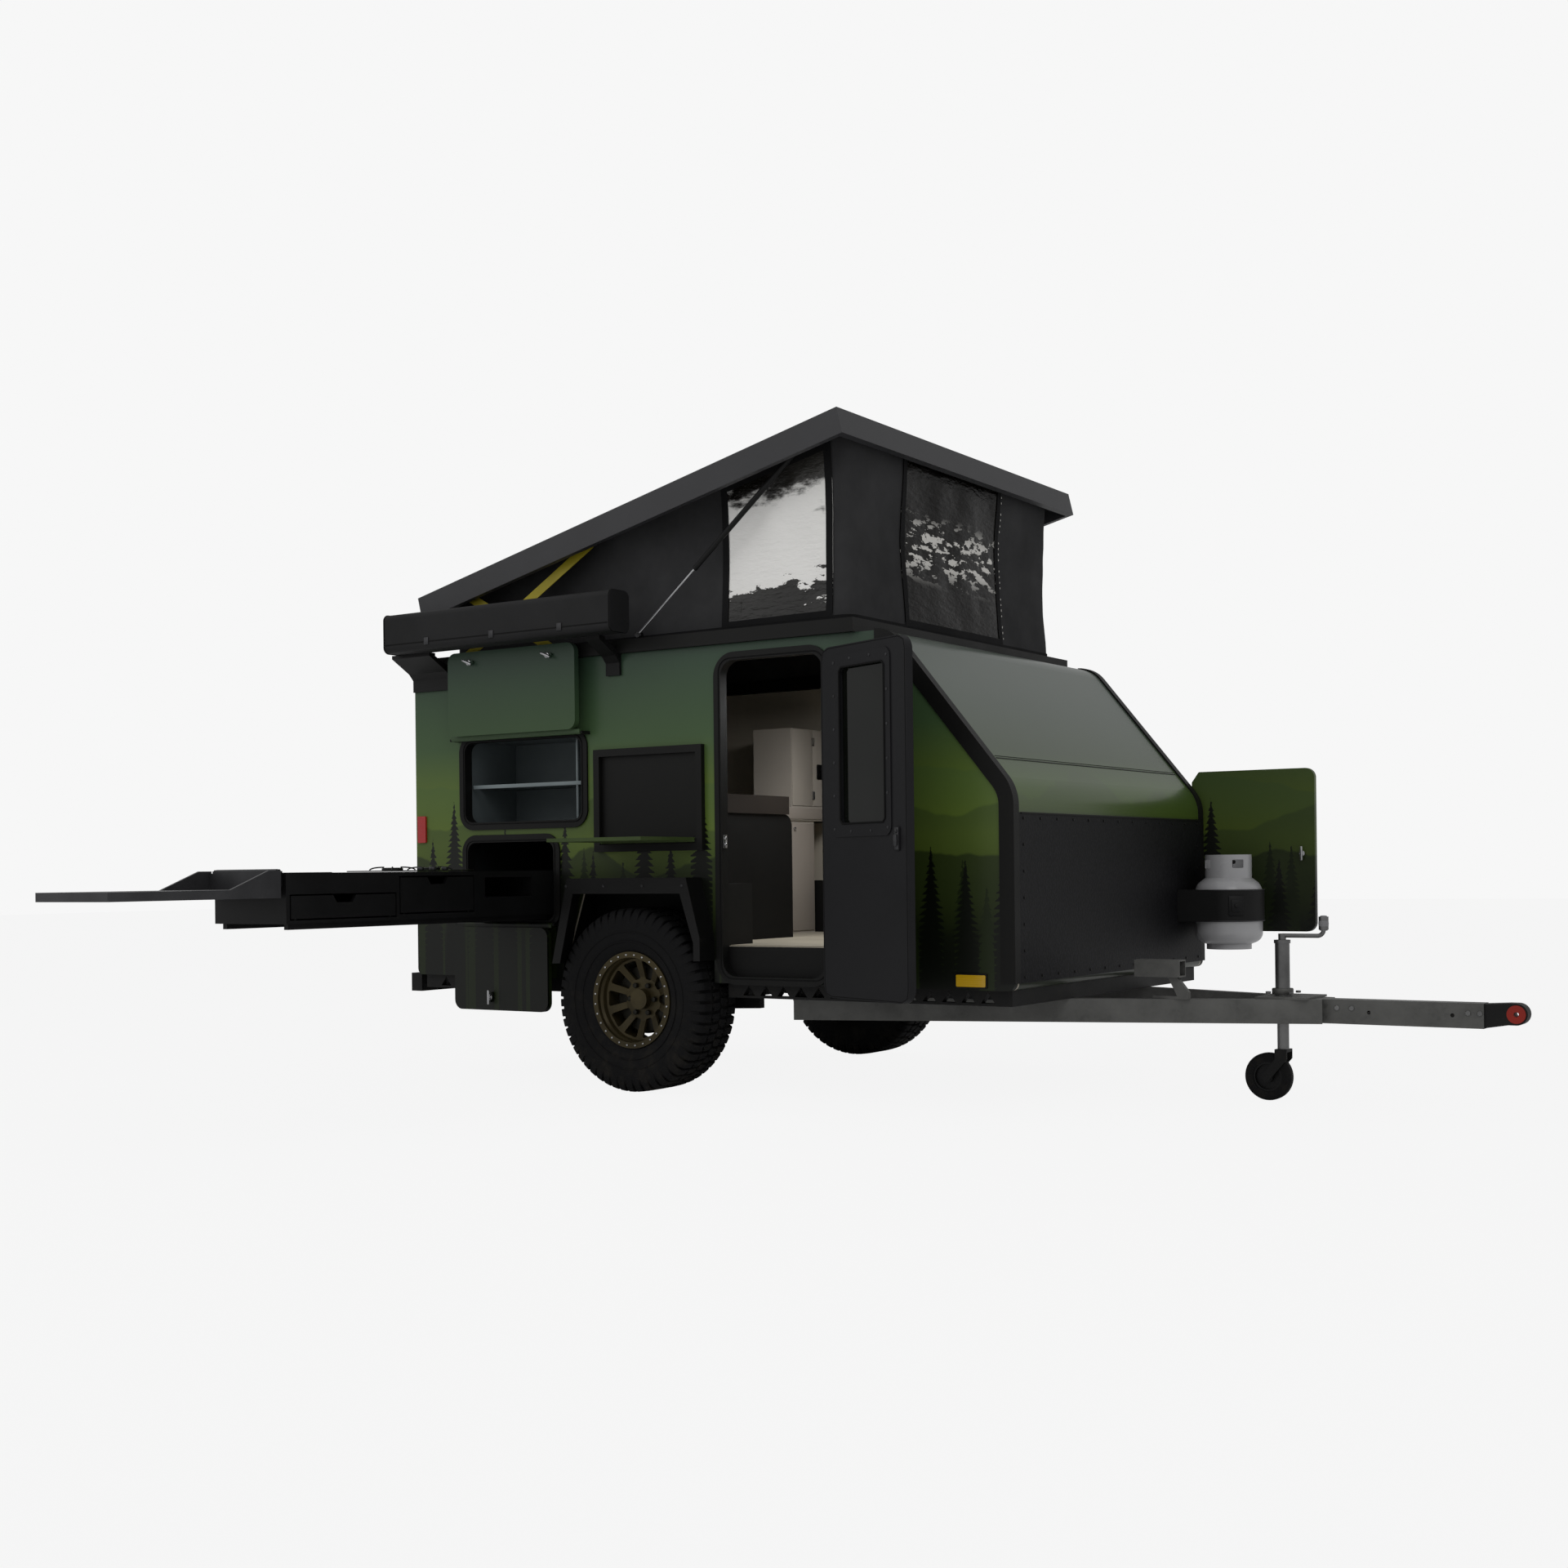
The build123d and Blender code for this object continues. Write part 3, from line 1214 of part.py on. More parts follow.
# Lift arms: flat bars on both sides, each with its foot on a pin of the top rail
for name, foot_x, length, angle, plane_y in (
    ("arms_long", long_foot_x, long_length, long_angle, long_arm_y),
    ("arms_short", short_foot_x, short_length, 180 - short_angle, short_arm_y),
):
    along = (cos(radians(angle)), 0, sin(radians(angle)))
    with BuildPart() as arms:
        for side in sides:
            foot_plane = Plane(origin=(foot_x, side * plane_y, arm_foot_z), x_dir=along, z_dir=(0, side, 0))
            with BuildSketch(foot_plane):
                with Locations((length / 2, 0)):
                    SlotCenterToCenter(length, arm_width)
                Circle(arm_pin + seat_gap, mode=Mode.SUBTRACT)
            extrude(amount=arm_thick)
    arms.part.label = name
    export_step(arms.part, f"parts/{name}.step")

# Gas struts: tubes hang on the lid's studs, rods reach down to the rail's lugs
strut_head_point = lid_plane.from_local_coords(Vector(strut_head.X, 0, strut_head_up))
strut_foot_point = Vector(strut_foot_x, 0, strut_foot_z)
strut_run = strut_head_point - strut_foot_point
strut_way = strut_run.normalized()
rod_reach = 560
with BuildPart() as strut_tubes:
    for side in sides:
        head_origin = (strut_head_point.X, side * strut_y, strut_head_point.Z)
        eye_plane = Plane(origin=head_origin, x_dir=strut_way, z_dir=(0, side, 0))
        with BuildSketch(eye_plane.offset(-eye_width / 2)):
            Circle(eye_radius)
        extrude(amount=eye_width)
        with BuildSketch(Plane(origin=head_origin, x_dir=(0, 1, 0), z_dir=-strut_way)):
            Circle(strut_tube_radius)
        extrude(amount=strut_tube_length)
        with BuildSketch(Plane(origin=head_origin, x_dir=(0, 1, 0), z_dir=-strut_way).offset(60)):
            Circle(strut_rod_radius + seat_gap)
        extrude(amount=strut_tube_length, mode=Mode.SUBTRACT)
        with BuildSketch(eye_plane.offset(-2 * eye_width)):
            Circle(strut_hole)
        extrude(amount=4 * eye_width, mode=Mode.SUBTRACT)
strut_tubes.part.label = "strut_tubes"
export_step(strut_tubes.part, "parts/strut_tubes.step")

with BuildPart() as strut_rods:
    for side in sides:
        foot_origin = (strut_foot_point.X, side * strut_y, strut_foot_point.Z)
        eye_plane = Plane(origin=foot_origin, x_dir=strut_way, z_dir=(0, side, 0))
        with BuildSketch(eye_plane.offset(-eye_width / 2)):
            Circle(eye_radius)
        extrude(amount=eye_width)
        with BuildSketch(Plane(origin=foot_origin, x_dir=(0, 1, 0), z_dir=strut_way)):
            Circle(strut_rod_radius)
        extrude(amount=rod_reach)
        with BuildSketch(eye_plane.offset(seat_gap - eye_width / 2 - move_gap)):
            Circle(strut_stud)
        extrude(amount=move_gap)
strut_rods.part.label = "strut_rods"
export_step(strut_rods.part, "parts/strut_rods.step")

# Entry door, standing open
door_way = Vector(-cos(radians(door_open)), -sin(radians(door_open)), 0)
door_normal = Vector(door_way.Y, -door_way.X, 0)
door_plane = Plane(origin=(door_hinge_x, -hinge_y, 0), x_dir=door_way, z_dir=door_normal)
door_glass = (308, 1501, 309, 642, 22)      # middle from the pin, middle above the road, size, corner
door_ring = (296, 1501, 410, 751, 40)
ring_proud = 5
with BuildPart() as entry_door:
    with BuildSketch(door_plane):
        door_middle = ((edge_gap + door_reach) / 2, (door_panel_z[0] + door_panel_z[1]) / 2)
        with Locations(door_middle):
            RectangleRounded(door_reach - edge_gap, door_panel_z[1] - door_panel_z[0], 60)
        with Locations((door_glass[0], road_z + door_glass[1])):
            RectangleRounded(door_glass[2], door_glass[3], door_glass[4], mode=Mode.SUBTRACT)
    extrude(amount=door_thick)
    with BuildSketch(door_plane.offset(door_thick)):
        with Locations((door_ring[0], road_z + door_ring[1])):
            RectangleRounded(door_ring[2], door_ring[3], door_ring[4])
        with Locations((door_glass[0], road_z + door_glass[1])):
            RectangleRounded(door_glass[2], door_glass[3], door_glass[4], mode=Mode.SUBTRACT)
    extrude(amount=ring_proud)
    with BuildSketch(door_plane.offset(door_thick)):
        with Locations((door_reach - 62, road_z + 1112)):
            RectangleRounded(34, 96, 8)
    extrude(amount=ring_proud)
    door_barrel = Plane(origin=door_plane.origin, x_dir=door_normal, z_dir=(0, 0, 1))
    hinge_barrel(door_barrel, *door_pin_z, edge_gap + 1)
entry_door.part.label = "entry_door"
export_step(entry_door.part, "parts/entry_door.step")

with BuildPart() as door_pane:
    with BuildSketch(door_plane.offset(door_thick / 2)):
        with Locations((door_glass[0], road_z + door_glass[1])):
            RectangleRounded(door_glass[2], door_glass[3], door_glass[4])
    extrude(amount=window_glass)
door_pane.part.label = "door_pane"
export_step(door_pane.part, "parts/door_pane.step")

# Pantry hatch, standing up
hatch_face = hinge_y + 5
pull_length = 52
pull_places = [(-930, 362), (-440, 362)]     # ahead of the axle, up from the pin
with BuildPart() as pantry_hatch:
    with BuildSketch(Plane.XZ.offset(hatch_face)):
        hatch_z = (pantry_hinge_z + edge_gap, pantry_hinge_z + pantry_reach)
        with Locations(((pantry_panel[0] + pantry_panel[1]) / 2, (hatch_z[0] + hatch_z[1]) / 2)):
            RectangleRounded(pantry_panel[1] - pantry_panel[0], hatch_z[1] - hatch_z[0], 45)
    extrude(amount=panel)
    for place, up in pull_places:
        with BuildSketch(Plane.XZ.offset(hatch_face + panel)):
            with Locations((axle_x + place, pantry_hinge_z + up)):
                SlotOverall(pull_length, 18)
        extrude(amount=lug)
    hinge_barrel(pantry_frame, *pantry_pin, -edge_gap - 1)
pantry_hatch.part.label = "pantry_hatch"
export_step(pantry_hatch.part, "parts/pantry_hatch.step")

# Galley hatch, hanging down
with BuildPart() as galley_hatch:
    with BuildSketch(Plane.XZ.offset(hatch_face)):
        hatch_z = (galley_hinge_z - galley_reach, galley_hinge_z - edge_gap)
        with Locations(((galley_panel[0] + galley_panel[1]) / 2, (hatch_z[0] + hatch_z[1]) / 2)):
            RectangleRounded(galley_panel[1] - galley_panel[0], hatch_z[1] - hatch_z[0], 45)
    extrude(amount=panel)
    with BuildSketch(Plane.XZ.offset(hatch_face + panel)):
        with Locations((axle_x - 815, galley_hinge_z - galley_reach + 62)):
            SlotOverall(pull_length, 18, rotation=70)
    extrude(amount=lug)
    hinge_barrel(galley_frame, *galley_pin, edge_gap + 1)
galley_hatch.part.label = "galley_hatch"
export_step(galley_hatch.part, "parts/galley_hatch.step")

# Front locker's hatch, swung forward
with BuildPart() as locker_hatch:
    with BuildSketch(Plane.XZ.offset(-hatch_face)):
        hatch_x = (locker_hinge_x + edge_gap, locker_hinge_x + locker_reach)
        with BuildLine():
            FilletPolyline(
                (hatch_x[0], locker_panel_z[0]),
                (hatch_x[1], locker_panel_z[0]),
                (hatch_x[1], locker_panel_z[1]),
                (hatch_x[0] + 36, locker_panel_z[1]),
                (hatch_x[0], locker_panel_z[1] - 50),
                radius=[12, 45, 45, 12, 12],
                close=True,
            )
        make_face()
    extrude(amount=-panel)
    with BuildSketch(Plane.XZ.offset(-hatch_face)):
        with Locations((locker_hinge_x + locker_reach - 58, road_z + 1044)):
            SlotOverall(pull_length, 20, rotation=90)
    extrude(amount=lug)
    hinge_barrel(locker_frame, *locker_pin_z, -edge_gap - 1)
locker_hatch.part.label = "locker_hatch"
export_step(locker_hatch.part, "parts/locker_hatch.step")

# Table leaf, let down level
table_reach = 384
table_leaf_x = (table_inside[0] + table_lug + 5, table_inside[1] - table_lug - 5)
table_leaf_thick = (-3, 13)
with BuildPart() as table_leaf:
    span_box(
        table_leaf_x,
        (-table_hinge_y - table_reach, -table_hinge_y - edge_gap),
        (table_hinge_z + table_leaf_thick[0], table_hinge_z + table_leaf_thick[1]),
    )
    leaf_barrel = (table_inside[0] + table_lug - lug, table_inside[1] - table_lug + lug)
    hinge_barrel(table_hinge_frame, *leaf_barrel, edge_gap + 1)
table_leaf.part.label = "table_leaf"
export_step(table_leaf.part, "parts/table_leaf.step")

# Kitchen that slides out of the side: box, worktop, drawers and the end leaf
kitchen_x = (kitchen_near_x - kitchen_width, kitchen_near_x)
kitchen_y = (kitchen_end_y, kitchen_end_y + kitchen_length)
# Drawers: name, from and to across the trailer, from and to above the road
drawer_table = [("drawer_lower", -2600, -2030, 820, 912), ("drawer_upper", -2000, -1555, 830, 980)]
recess_y = (-1480, -1164)
recess_z = (road_z + 887, road_z + 975)
drawer_depth = 380
slip_height = 5.7
leaf_hinge_y = kitchen_end_y - 15
leaf_hinge_z = kitchen_top + 17
leaf_lug_x = (kitchen_x[0] + 20, kitchen_x[1] - 20)
leaf_hinge_frame = Plane(origin=(0, leaf_hinge_y, leaf_hinge_z), x_dir=(0, 0, 1), z_dir=(1, 0, 0))
with BuildPart() as kitchen_box:
    span_box(kitchen_x, kitchen_y, (kitchen_bottom, kitchen_top))
    for name, low_y, high_y, low_z, high_z in drawer_table:
        bay_of_drawer = (kitchen_near_x - drawer_depth - 2 * move_gap, kitchen_near_x + 1)
        span_box(
            bay_of_drawer,
            (low_y - move_gap, high_y + move_gap),
            (road_z + low_z - move_gap, road_z + high_z + move_gap),
            mode=Mode.SUBTRACT,
        )
    span_box((kitchen_x[0] + board, kitchen_x[1] + 1), recess_y, recess_z, mode=Mode.SUBTRACT)
    for name, low_y, high_y, low_z, high_z in drawer_table:
        for strip_y in (low_y + 20, high_y - 32):
            strip_z = (road_z + low_z - move_gap, road_z + low_z - move_gap + slip_height)
            strip_x = (kitchen_near_x - drawer_depth, kitchen_near_x - move_gap)
            span_box(strip_x, (strip_y, strip_y + lug), strip_z)
    for place in runner_places:
        span_box(
            (place - runner_width / 2, place + runner_width / 2),
            (kitchen_end_y + 25, kitchen_end_y + 25 + runner_length),
            (kitchen_bottom - runner_height, kitchen_bottom),
        )
    for start in (leaf_lug_x[0], leaf_lug_x[1] - lug):
        with Locations(leaf_hinge_frame.offset(start)):
            Cylinder(lug_half, lug, align=lowest)
        lug_y = (leaf_hinge_y - lug_half, kitchen_end_y)
        span_box((start, start + lug), lug_y, (leaf_hinge_z - 60, leaf_hinge_z))
    with Locations(leaf_hinge_frame.offset(leaf_lug_x[0])):
        Cylinder(hinge_pin, leaf_lug_x[1] - leaf_lug_x[0], align=lowest)
kitchen_box.part.label = "kitchen_box"
export_step(kitchen_box.part, "parts/kitchen_box.step")

hob = (-2360, 150, 105)      # middle across the trailer, half sizes of the basin's rim
with BuildPart() as worktop_plate:
    span_box(kitchen_x, kitchen_y, (kitchen_top, kitchen_top + worktop))
    with BuildSketch(Plane.XY.offset(kitchen_top + worktop)):
        with Locations(((kitchen_x[0] + kitchen_x[1]) / 2, hob[0])):
            Ellipse(hob[1], hob[2])
            Ellipse(hob[1] - 12, hob[2] - 12, mode=Mode.SUBTRACT)
    extrude(amount=2)
worktop_plate.part.label = "worktop"
export_step(worktop_plate.part, "parts/worktop.step")

drawer_wall = 10
for name, low_y, high_y, low_z, high_z in drawer_table:
    bottom_z = road_z + low_z
    top_z = road_z + high_z
    notch_y = (low_y + high_y) / 2
    with BuildPart() as drawer:
        span_box((kitchen_near_x - drawer_depth, kitchen_near_x), (low_y, high_y), (bottom_z, top_z))
        span_box(
            (kitchen_near_x - drawer_depth + drawer_wall, kitchen_near_x - board),
            (low_y + drawer_wall, high_y - drawer_wall),
            (bottom_z + drawer_wall, top_z + 1),
            mode=Mode.SUBTRACT,
        )
        with BuildSketch(Plane.YZ.offset(kitchen_near_x - board)):
            with BuildLine():
                Polyline(
                    (notch_y - 62, top_z), (notch_y - 42, top_z - 30),
                    (notch_y + 42, top_z - 30), (notch_y + 62, top_z),
                    close=True,
                )
            make_face()
        extrude(amount=board, mode=Mode.SUBTRACT)
    drawer.part.label = name
    export_step(drawer.part, f"parts/{name}.step")

# End leaf of the kitchen, folded out
leaf_near_y = leaf_hinge_y - 10
leaf_upright = 12
leaf_z = (leaf_hinge_z - leaf_drop - leaf_thick, leaf_hinge_z - leaf_drop)
leaf_top = leaf_hinge_z + 2
leaf_lug_room = 7
with BuildPart() as kitchen_leaf:
    span_box(kitchen_x, (leaf_near_y - leaf_length, leaf_near_y), leaf_z)
    inner_x = (leaf_lug_x[0] - lug, leaf_lug_x[1] + lug)
    span_box(kitchen_x, (leaf_near_y - leaf_upright, leaf_near_y), (leaf_z[0], leaf_hinge_z - leaf_lug_room))
    for edge_x in (kitchen_x[0], kitchen_x[1] - leaf_upright):
        with BuildSketch(Plane.YZ.offset(edge_x)):
            with BuildLine():
                Polyline(
                    (leaf_near_y, leaf_z[0]),
                    (leaf_near_y, leaf_top),
                    (leaf_near_y - 60, leaf_top),
                    (leaf_near_y - 250, leaf_z[1]),
                    (leaf_near_y - 250, leaf_z[0]),
                    close=True,
                )
            make_face()
        extrude(amount=leaf_upright)
    barrel_x = (leaf_lug_x[0] + lug + seat_gap, leaf_lug_x[1] - lug - seat_gap)
    span_box(barrel_x, (leaf_near_y - leaf_upright, leaf_near_y), (leaf_z[0], leaf_top))
    span_box(barrel_x, (leaf_near_y - 2, leaf_hinge_y), (leaf_hinge_z - 4, leaf_top))
    with Locations(leaf_hinge_frame.offset(barrel_x[0])):
        Cylinder(hinge_radius, barrel_x[1] - barrel_x[0], align=lowest)
        Cylinder(hinge_pin + seat_gap, barrel_x[1] - barrel_x[0], align=lowest, mode=Mode.SUBTRACT)
kitchen_leaf.part.label = "kitchen_leaf"
export_step(kitchen_leaf.part, "parts/kitchen_leaf.step")
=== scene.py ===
import math
import bpy
from mathutils import Matrix, Vector, noise


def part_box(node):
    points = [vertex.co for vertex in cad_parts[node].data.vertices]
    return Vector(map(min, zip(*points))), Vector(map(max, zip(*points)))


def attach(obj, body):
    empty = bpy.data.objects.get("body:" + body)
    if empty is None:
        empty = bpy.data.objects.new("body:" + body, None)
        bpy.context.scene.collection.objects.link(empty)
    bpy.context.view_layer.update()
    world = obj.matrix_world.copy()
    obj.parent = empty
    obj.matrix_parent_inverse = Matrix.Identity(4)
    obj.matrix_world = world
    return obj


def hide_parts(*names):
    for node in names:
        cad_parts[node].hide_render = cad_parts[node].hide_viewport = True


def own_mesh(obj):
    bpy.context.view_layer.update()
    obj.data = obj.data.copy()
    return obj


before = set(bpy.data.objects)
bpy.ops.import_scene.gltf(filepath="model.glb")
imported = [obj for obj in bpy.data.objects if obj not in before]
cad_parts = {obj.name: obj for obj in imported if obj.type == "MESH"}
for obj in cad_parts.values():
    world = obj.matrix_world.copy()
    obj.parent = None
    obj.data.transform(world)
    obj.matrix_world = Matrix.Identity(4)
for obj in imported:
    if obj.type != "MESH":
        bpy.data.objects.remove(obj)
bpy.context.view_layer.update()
print("frame loaded")

axleToEye = 3.570   # the row's origin is the coupling's cross bore
eyeHeight = 0.395


def at(x, y, z):
    # millimetres ahead of the axle, to the left and over the road
    return Vector((x / 1000 - axleToEye, y / 1000, z / 1000 - eyeHeight))


# Colours and nodes

def paint(red, green, blue):
    # a colour as a picture program shows it, 0 to 255
    def linear(part):
        part = part / 255
        return part / 12.92 if part <= 0.04045 else ((part + 0.055) / 1.055) ** 2.4
    return (linear(red), linear(green), linear(blue), 1.0)


def feed(tree, socket, value):
    if isinstance(value, bpy.types.NodeSocket):
        tree.links.new(value, socket)
    else:
        socket.default_value = value


def addNode(tree, kind, inputs=None, **settings):
    made = tree.nodes.new(kind)
    for name, value in settings.items():
        setattr(made, name, value)
    for name, value in (inputs or {}).items():
        feed(tree, made.inputs[name], value)
    return made


def calc(tree, operation, *values, clamp=False):
    made = addNode(tree, "ShaderNodeMath", operation=operation, use_clamp=clamp)
    for number, value in enumerate(values):
        feed(tree, made.inputs[number], value)
    return made.outputs[0]


def rampOf(tree, factor, *stops, mode="LINEAR"):
    made = addNode(tree, "ShaderNodeValToRGB", {"Fac": factor})
    made.color_ramp.interpolation = mode
    while len(made.color_ramp.elements) < len(stops):
        made.color_ramp.elements.new(0.5)
    for element, (place, colour) in zip(made.color_ramp.elements, stops):
        element.position = place
        element.color = colour
    return made.outputs["Color"]


def stepOf(tree, value, low, high):
    # 0 under low, 1 over high
    made = addNode(tree, "ShaderNodeMapRange", {"Value": value, "From Min": low, "From Max": high})
    made.interpolation_type = "SMOOTHSTEP"
    return made.outputs["Result"]


def mixOf(tree, factor, first, second, blend="MIX"):
    made = addNode(tree, "ShaderNodeMix", data_type="RGBA", blend_type=blend)
    feed(tree, made.inputs[0], factor)
    feed(tree, made.inputs[6], first)
    feed(tree, made.inputs[7], second)
    return made.outputs[2]


def noiseOf(tree, vector, scale, detail=2.0, roughness=0.5, stretch=None):
    if stretch:
        vector = addNode(tree, "ShaderNodeMapping", {"Vector": vector, "Scale": stretch}).outputs[0]
    return addNode(tree, "ShaderNodeTexNoise",
                   {"Vector": vector, "Scale": scale, "Detail": detail, "Roughness": roughness}).outputs["Fac"]


def cellsOf(tree, vector, scale, feature="F1", wanted="Distance", stretch=None):
    if stretch:
        vector = addNode(tree, "ShaderNodeMapping", {"Vector": vector, "Scale": stretch}).outputs[0]
    made = addNode(tree, "ShaderNodeTexVoronoi", {"Vector": vector, "Scale": scale}, feature=feature)
    return made.outputs[wanted]


def bumpOf(tree, shader, height, distance, strength=1.0, under=None):
    inputs = {"Height": height, "Distance": distance, "Strength": strength}
    if under:
        inputs["Normal"] = under
    made = addNode(tree, "ShaderNodeBump", inputs)
    feed(tree, shader.inputs["Normal"], made.outputs[0])
    return made.outputs[0]


def startFinish(name, roughness, specular=0.5, metal=0.0, coat=0.0, coatRoughness=0.1):
    finish = bpy.data.materials.new(name)
    finish.use_nodes = True
    tree = finish.node_tree
    shader = tree.nodes["Principled BSDF"]
    shader.inputs["Roughness"].default_value = roughness
    shader.inputs["Specular IOR Level"].default_value = specular
    shader.inputs["Metallic"].default_value = metal
    shader.inputs["Coat Weight"].default_value = coat
    shader.inputs["Coat Roughness"].default_value = coatRoughness
    point = addNode(tree, "ShaderNodeTexCoord").outputs["Object"]
    return finish, tree, shader, point


def mottled(name, colour, roughness=0.5, specular=0.3, metal=0.0, patch=3.0, change=0.12,
            grain=900.0, grainDepth=0.00006, coat=0.0, dust=0.0):
    # a plain coloured surface: slow patches of tone, a fine grain and, low down, a little dust
    finish, tree, shader, point = startFinish(name, roughness, specular, metal, coat)
    slow = noiseOf(tree, point, patch, 3.0, 0.55)
    fine = noiseOf(tree, point, grain * 0.35, 2.0, 0.6)
    darker = tuple(part * (1 - change) for part in colour[:3]) + (1.0,)
    lighter = tuple(min(1.0, part * (1 + change) + 0.0004) for part in colour[:3]) + (1.0,)
    tone = rampOf(tree, slow, (0.35, darker), (0.65, lighter))
    tone = mixOf(tree, calc(tree, "MULTIPLY", fine, 0.10), tone, lighter)
    if dust:
        height = addNode(tree, "ShaderNodeSeparateXYZ", {"Vector": point}).outputs[2]
        low = stepOf(tree, height, 0.35, -0.35)
        speck = stepOf(tree, noiseOf(tree, point, 14.0, 5.0, 0.65), 0.45, 0.75)
        amount = calc(tree, "MULTIPLY", calc(tree, "MULTIPLY", low, speck), dust)
        tone = mixOf(tree, amount, tone, paint(96, 88, 72))
    feed(tree, shader.inputs["Base Color"], tone)
    rough = calc(tree, "MULTIPLY_ADD", calc(tree, "SUBTRACT", slow, 0.5), 0.25, roughness, clamp=True)
    feed(tree, shader.inputs["Roughness"], rough)
    bumpOf(tree, shader, noiseOf(tree, point, grain, 2.0, 0.5), grainDepth * 8, 0.35)
    return finish


def pebbled(name, colour, roughness=0.50, specular=0.12, size=95.0, depth=0.0011):
    # a hammered, pebble-grained sheet; each pebble's raised middle is lighter, a painted highlight
    finish, tree, shader, point = startFinish(name, roughness, specular)
    cells = cellsOf(tree, point, size, "SMOOTH_F1")
    slow = noiseOf(tree, point, 4.0, 3.0, 0.6)
    lighter = tuple(part * 1.9 + 0.001 for part in colour[:3]) + (1.0,)
    # painted highlight: each pebble's raised middle is lighter than its edge
    tone = rampOf(tree, cells, (0.15, lighter), (0.55, colour))
    feed(tree, shader.inputs["Base Color"], mixOf(tree, calc(tree, "MULTIPLY", slow, 0.5), tone, colour))
    bumpOf(tree, shader, calc(tree, "SUBTRACT", 1.0, cells), depth, 0.55)
    return finish


def metalSheet(name, colour, roughness=0.42, metal=0.75, spangle=0.0, brush=None, specular=0.4):
    # bare or zinc-dipped metal, with the zinc's crystals or the brush's lines
    finish, tree, shader, point = startFinish(name, roughness, specular, metal)
    slow = noiseOf(tree, point, 5.0, 4.0, 0.6)
    darker = tuple(part * 0.62 for part in colour[:3]) + (1.0,)
    lighter = tuple(min(1.0, part * 1.35) for part in colour[:3]) + (1.0,)
    tone = rampOf(tree, slow, (0.30, darker), (0.55, colour), (0.78, lighter))
    if spangle:
        flake = cellsOf(tree, point, spangle, "F1", "Color")
        grey = addNode(tree, "ShaderNodeRGBToBW", {"Color": flake}).outputs[0]
        tone = mixOf(tree, calc(tree, "MULTIPLY", grey, 0.42), tone, lighter)
        rough = calc(tree, "MULTIPLY_ADD", grey, 0.22, roughness - 0.08, clamp=True)
        feed(tree, shader.inputs["Roughness"], rough)
    if brush:
        line = noiseOf(tree, point, 1.0, 3.0, 0.7, stretch=brush)
        tone = mixOf(tree, calc(tree, "MULTIPLY", line, 0.35), tone, lighter)
        bumpOf(tree, shader, line, 0.0002, 0.3)
    else:
        bumpOf(tree, shader, noiseOf(tree, point, 260.0, 3.0, 0.6), 0.0004, 0.25)
    feed(tree, shader.inputs["Base Color"], tone)
    return finish


# the printed wrap: misty hills over a dark wood, fading to black at the sill
wrap = {
    "heights": (0.105, 0.32, 0.54, 0.74, 0.95, 1.20, 1.590),   # row metres over the eye
    "tones": (paint(3, 4, 2), paint(10, 14, 4), paint(50, 62, 16), paint(98, 116, 34),
              paint(92, 112, 44), paint(66, 90, 56), paint(50, 70, 56)),
    # middle, swing, rate, seed, tone, strength
    "hills": ((1.02, 0.20, 0.75, 3.1, paint(78, 102, 52), 0.60),
              (0.86, 0.17, 1.15, 9.7, paint(62, 79, 38), 0.65),
              (0.66, 0.13, 1.75, 21.3, paint(33, 44, 18), 0.80)),
    # spacing, foot, tallest, seed, tone
    "trees": ((0.115, 0.56, 0.26, 5.0, paint(24, 34, 8)), (0.165, 0.66, 0.46, 41.0, paint(4, 6, 2))),
}


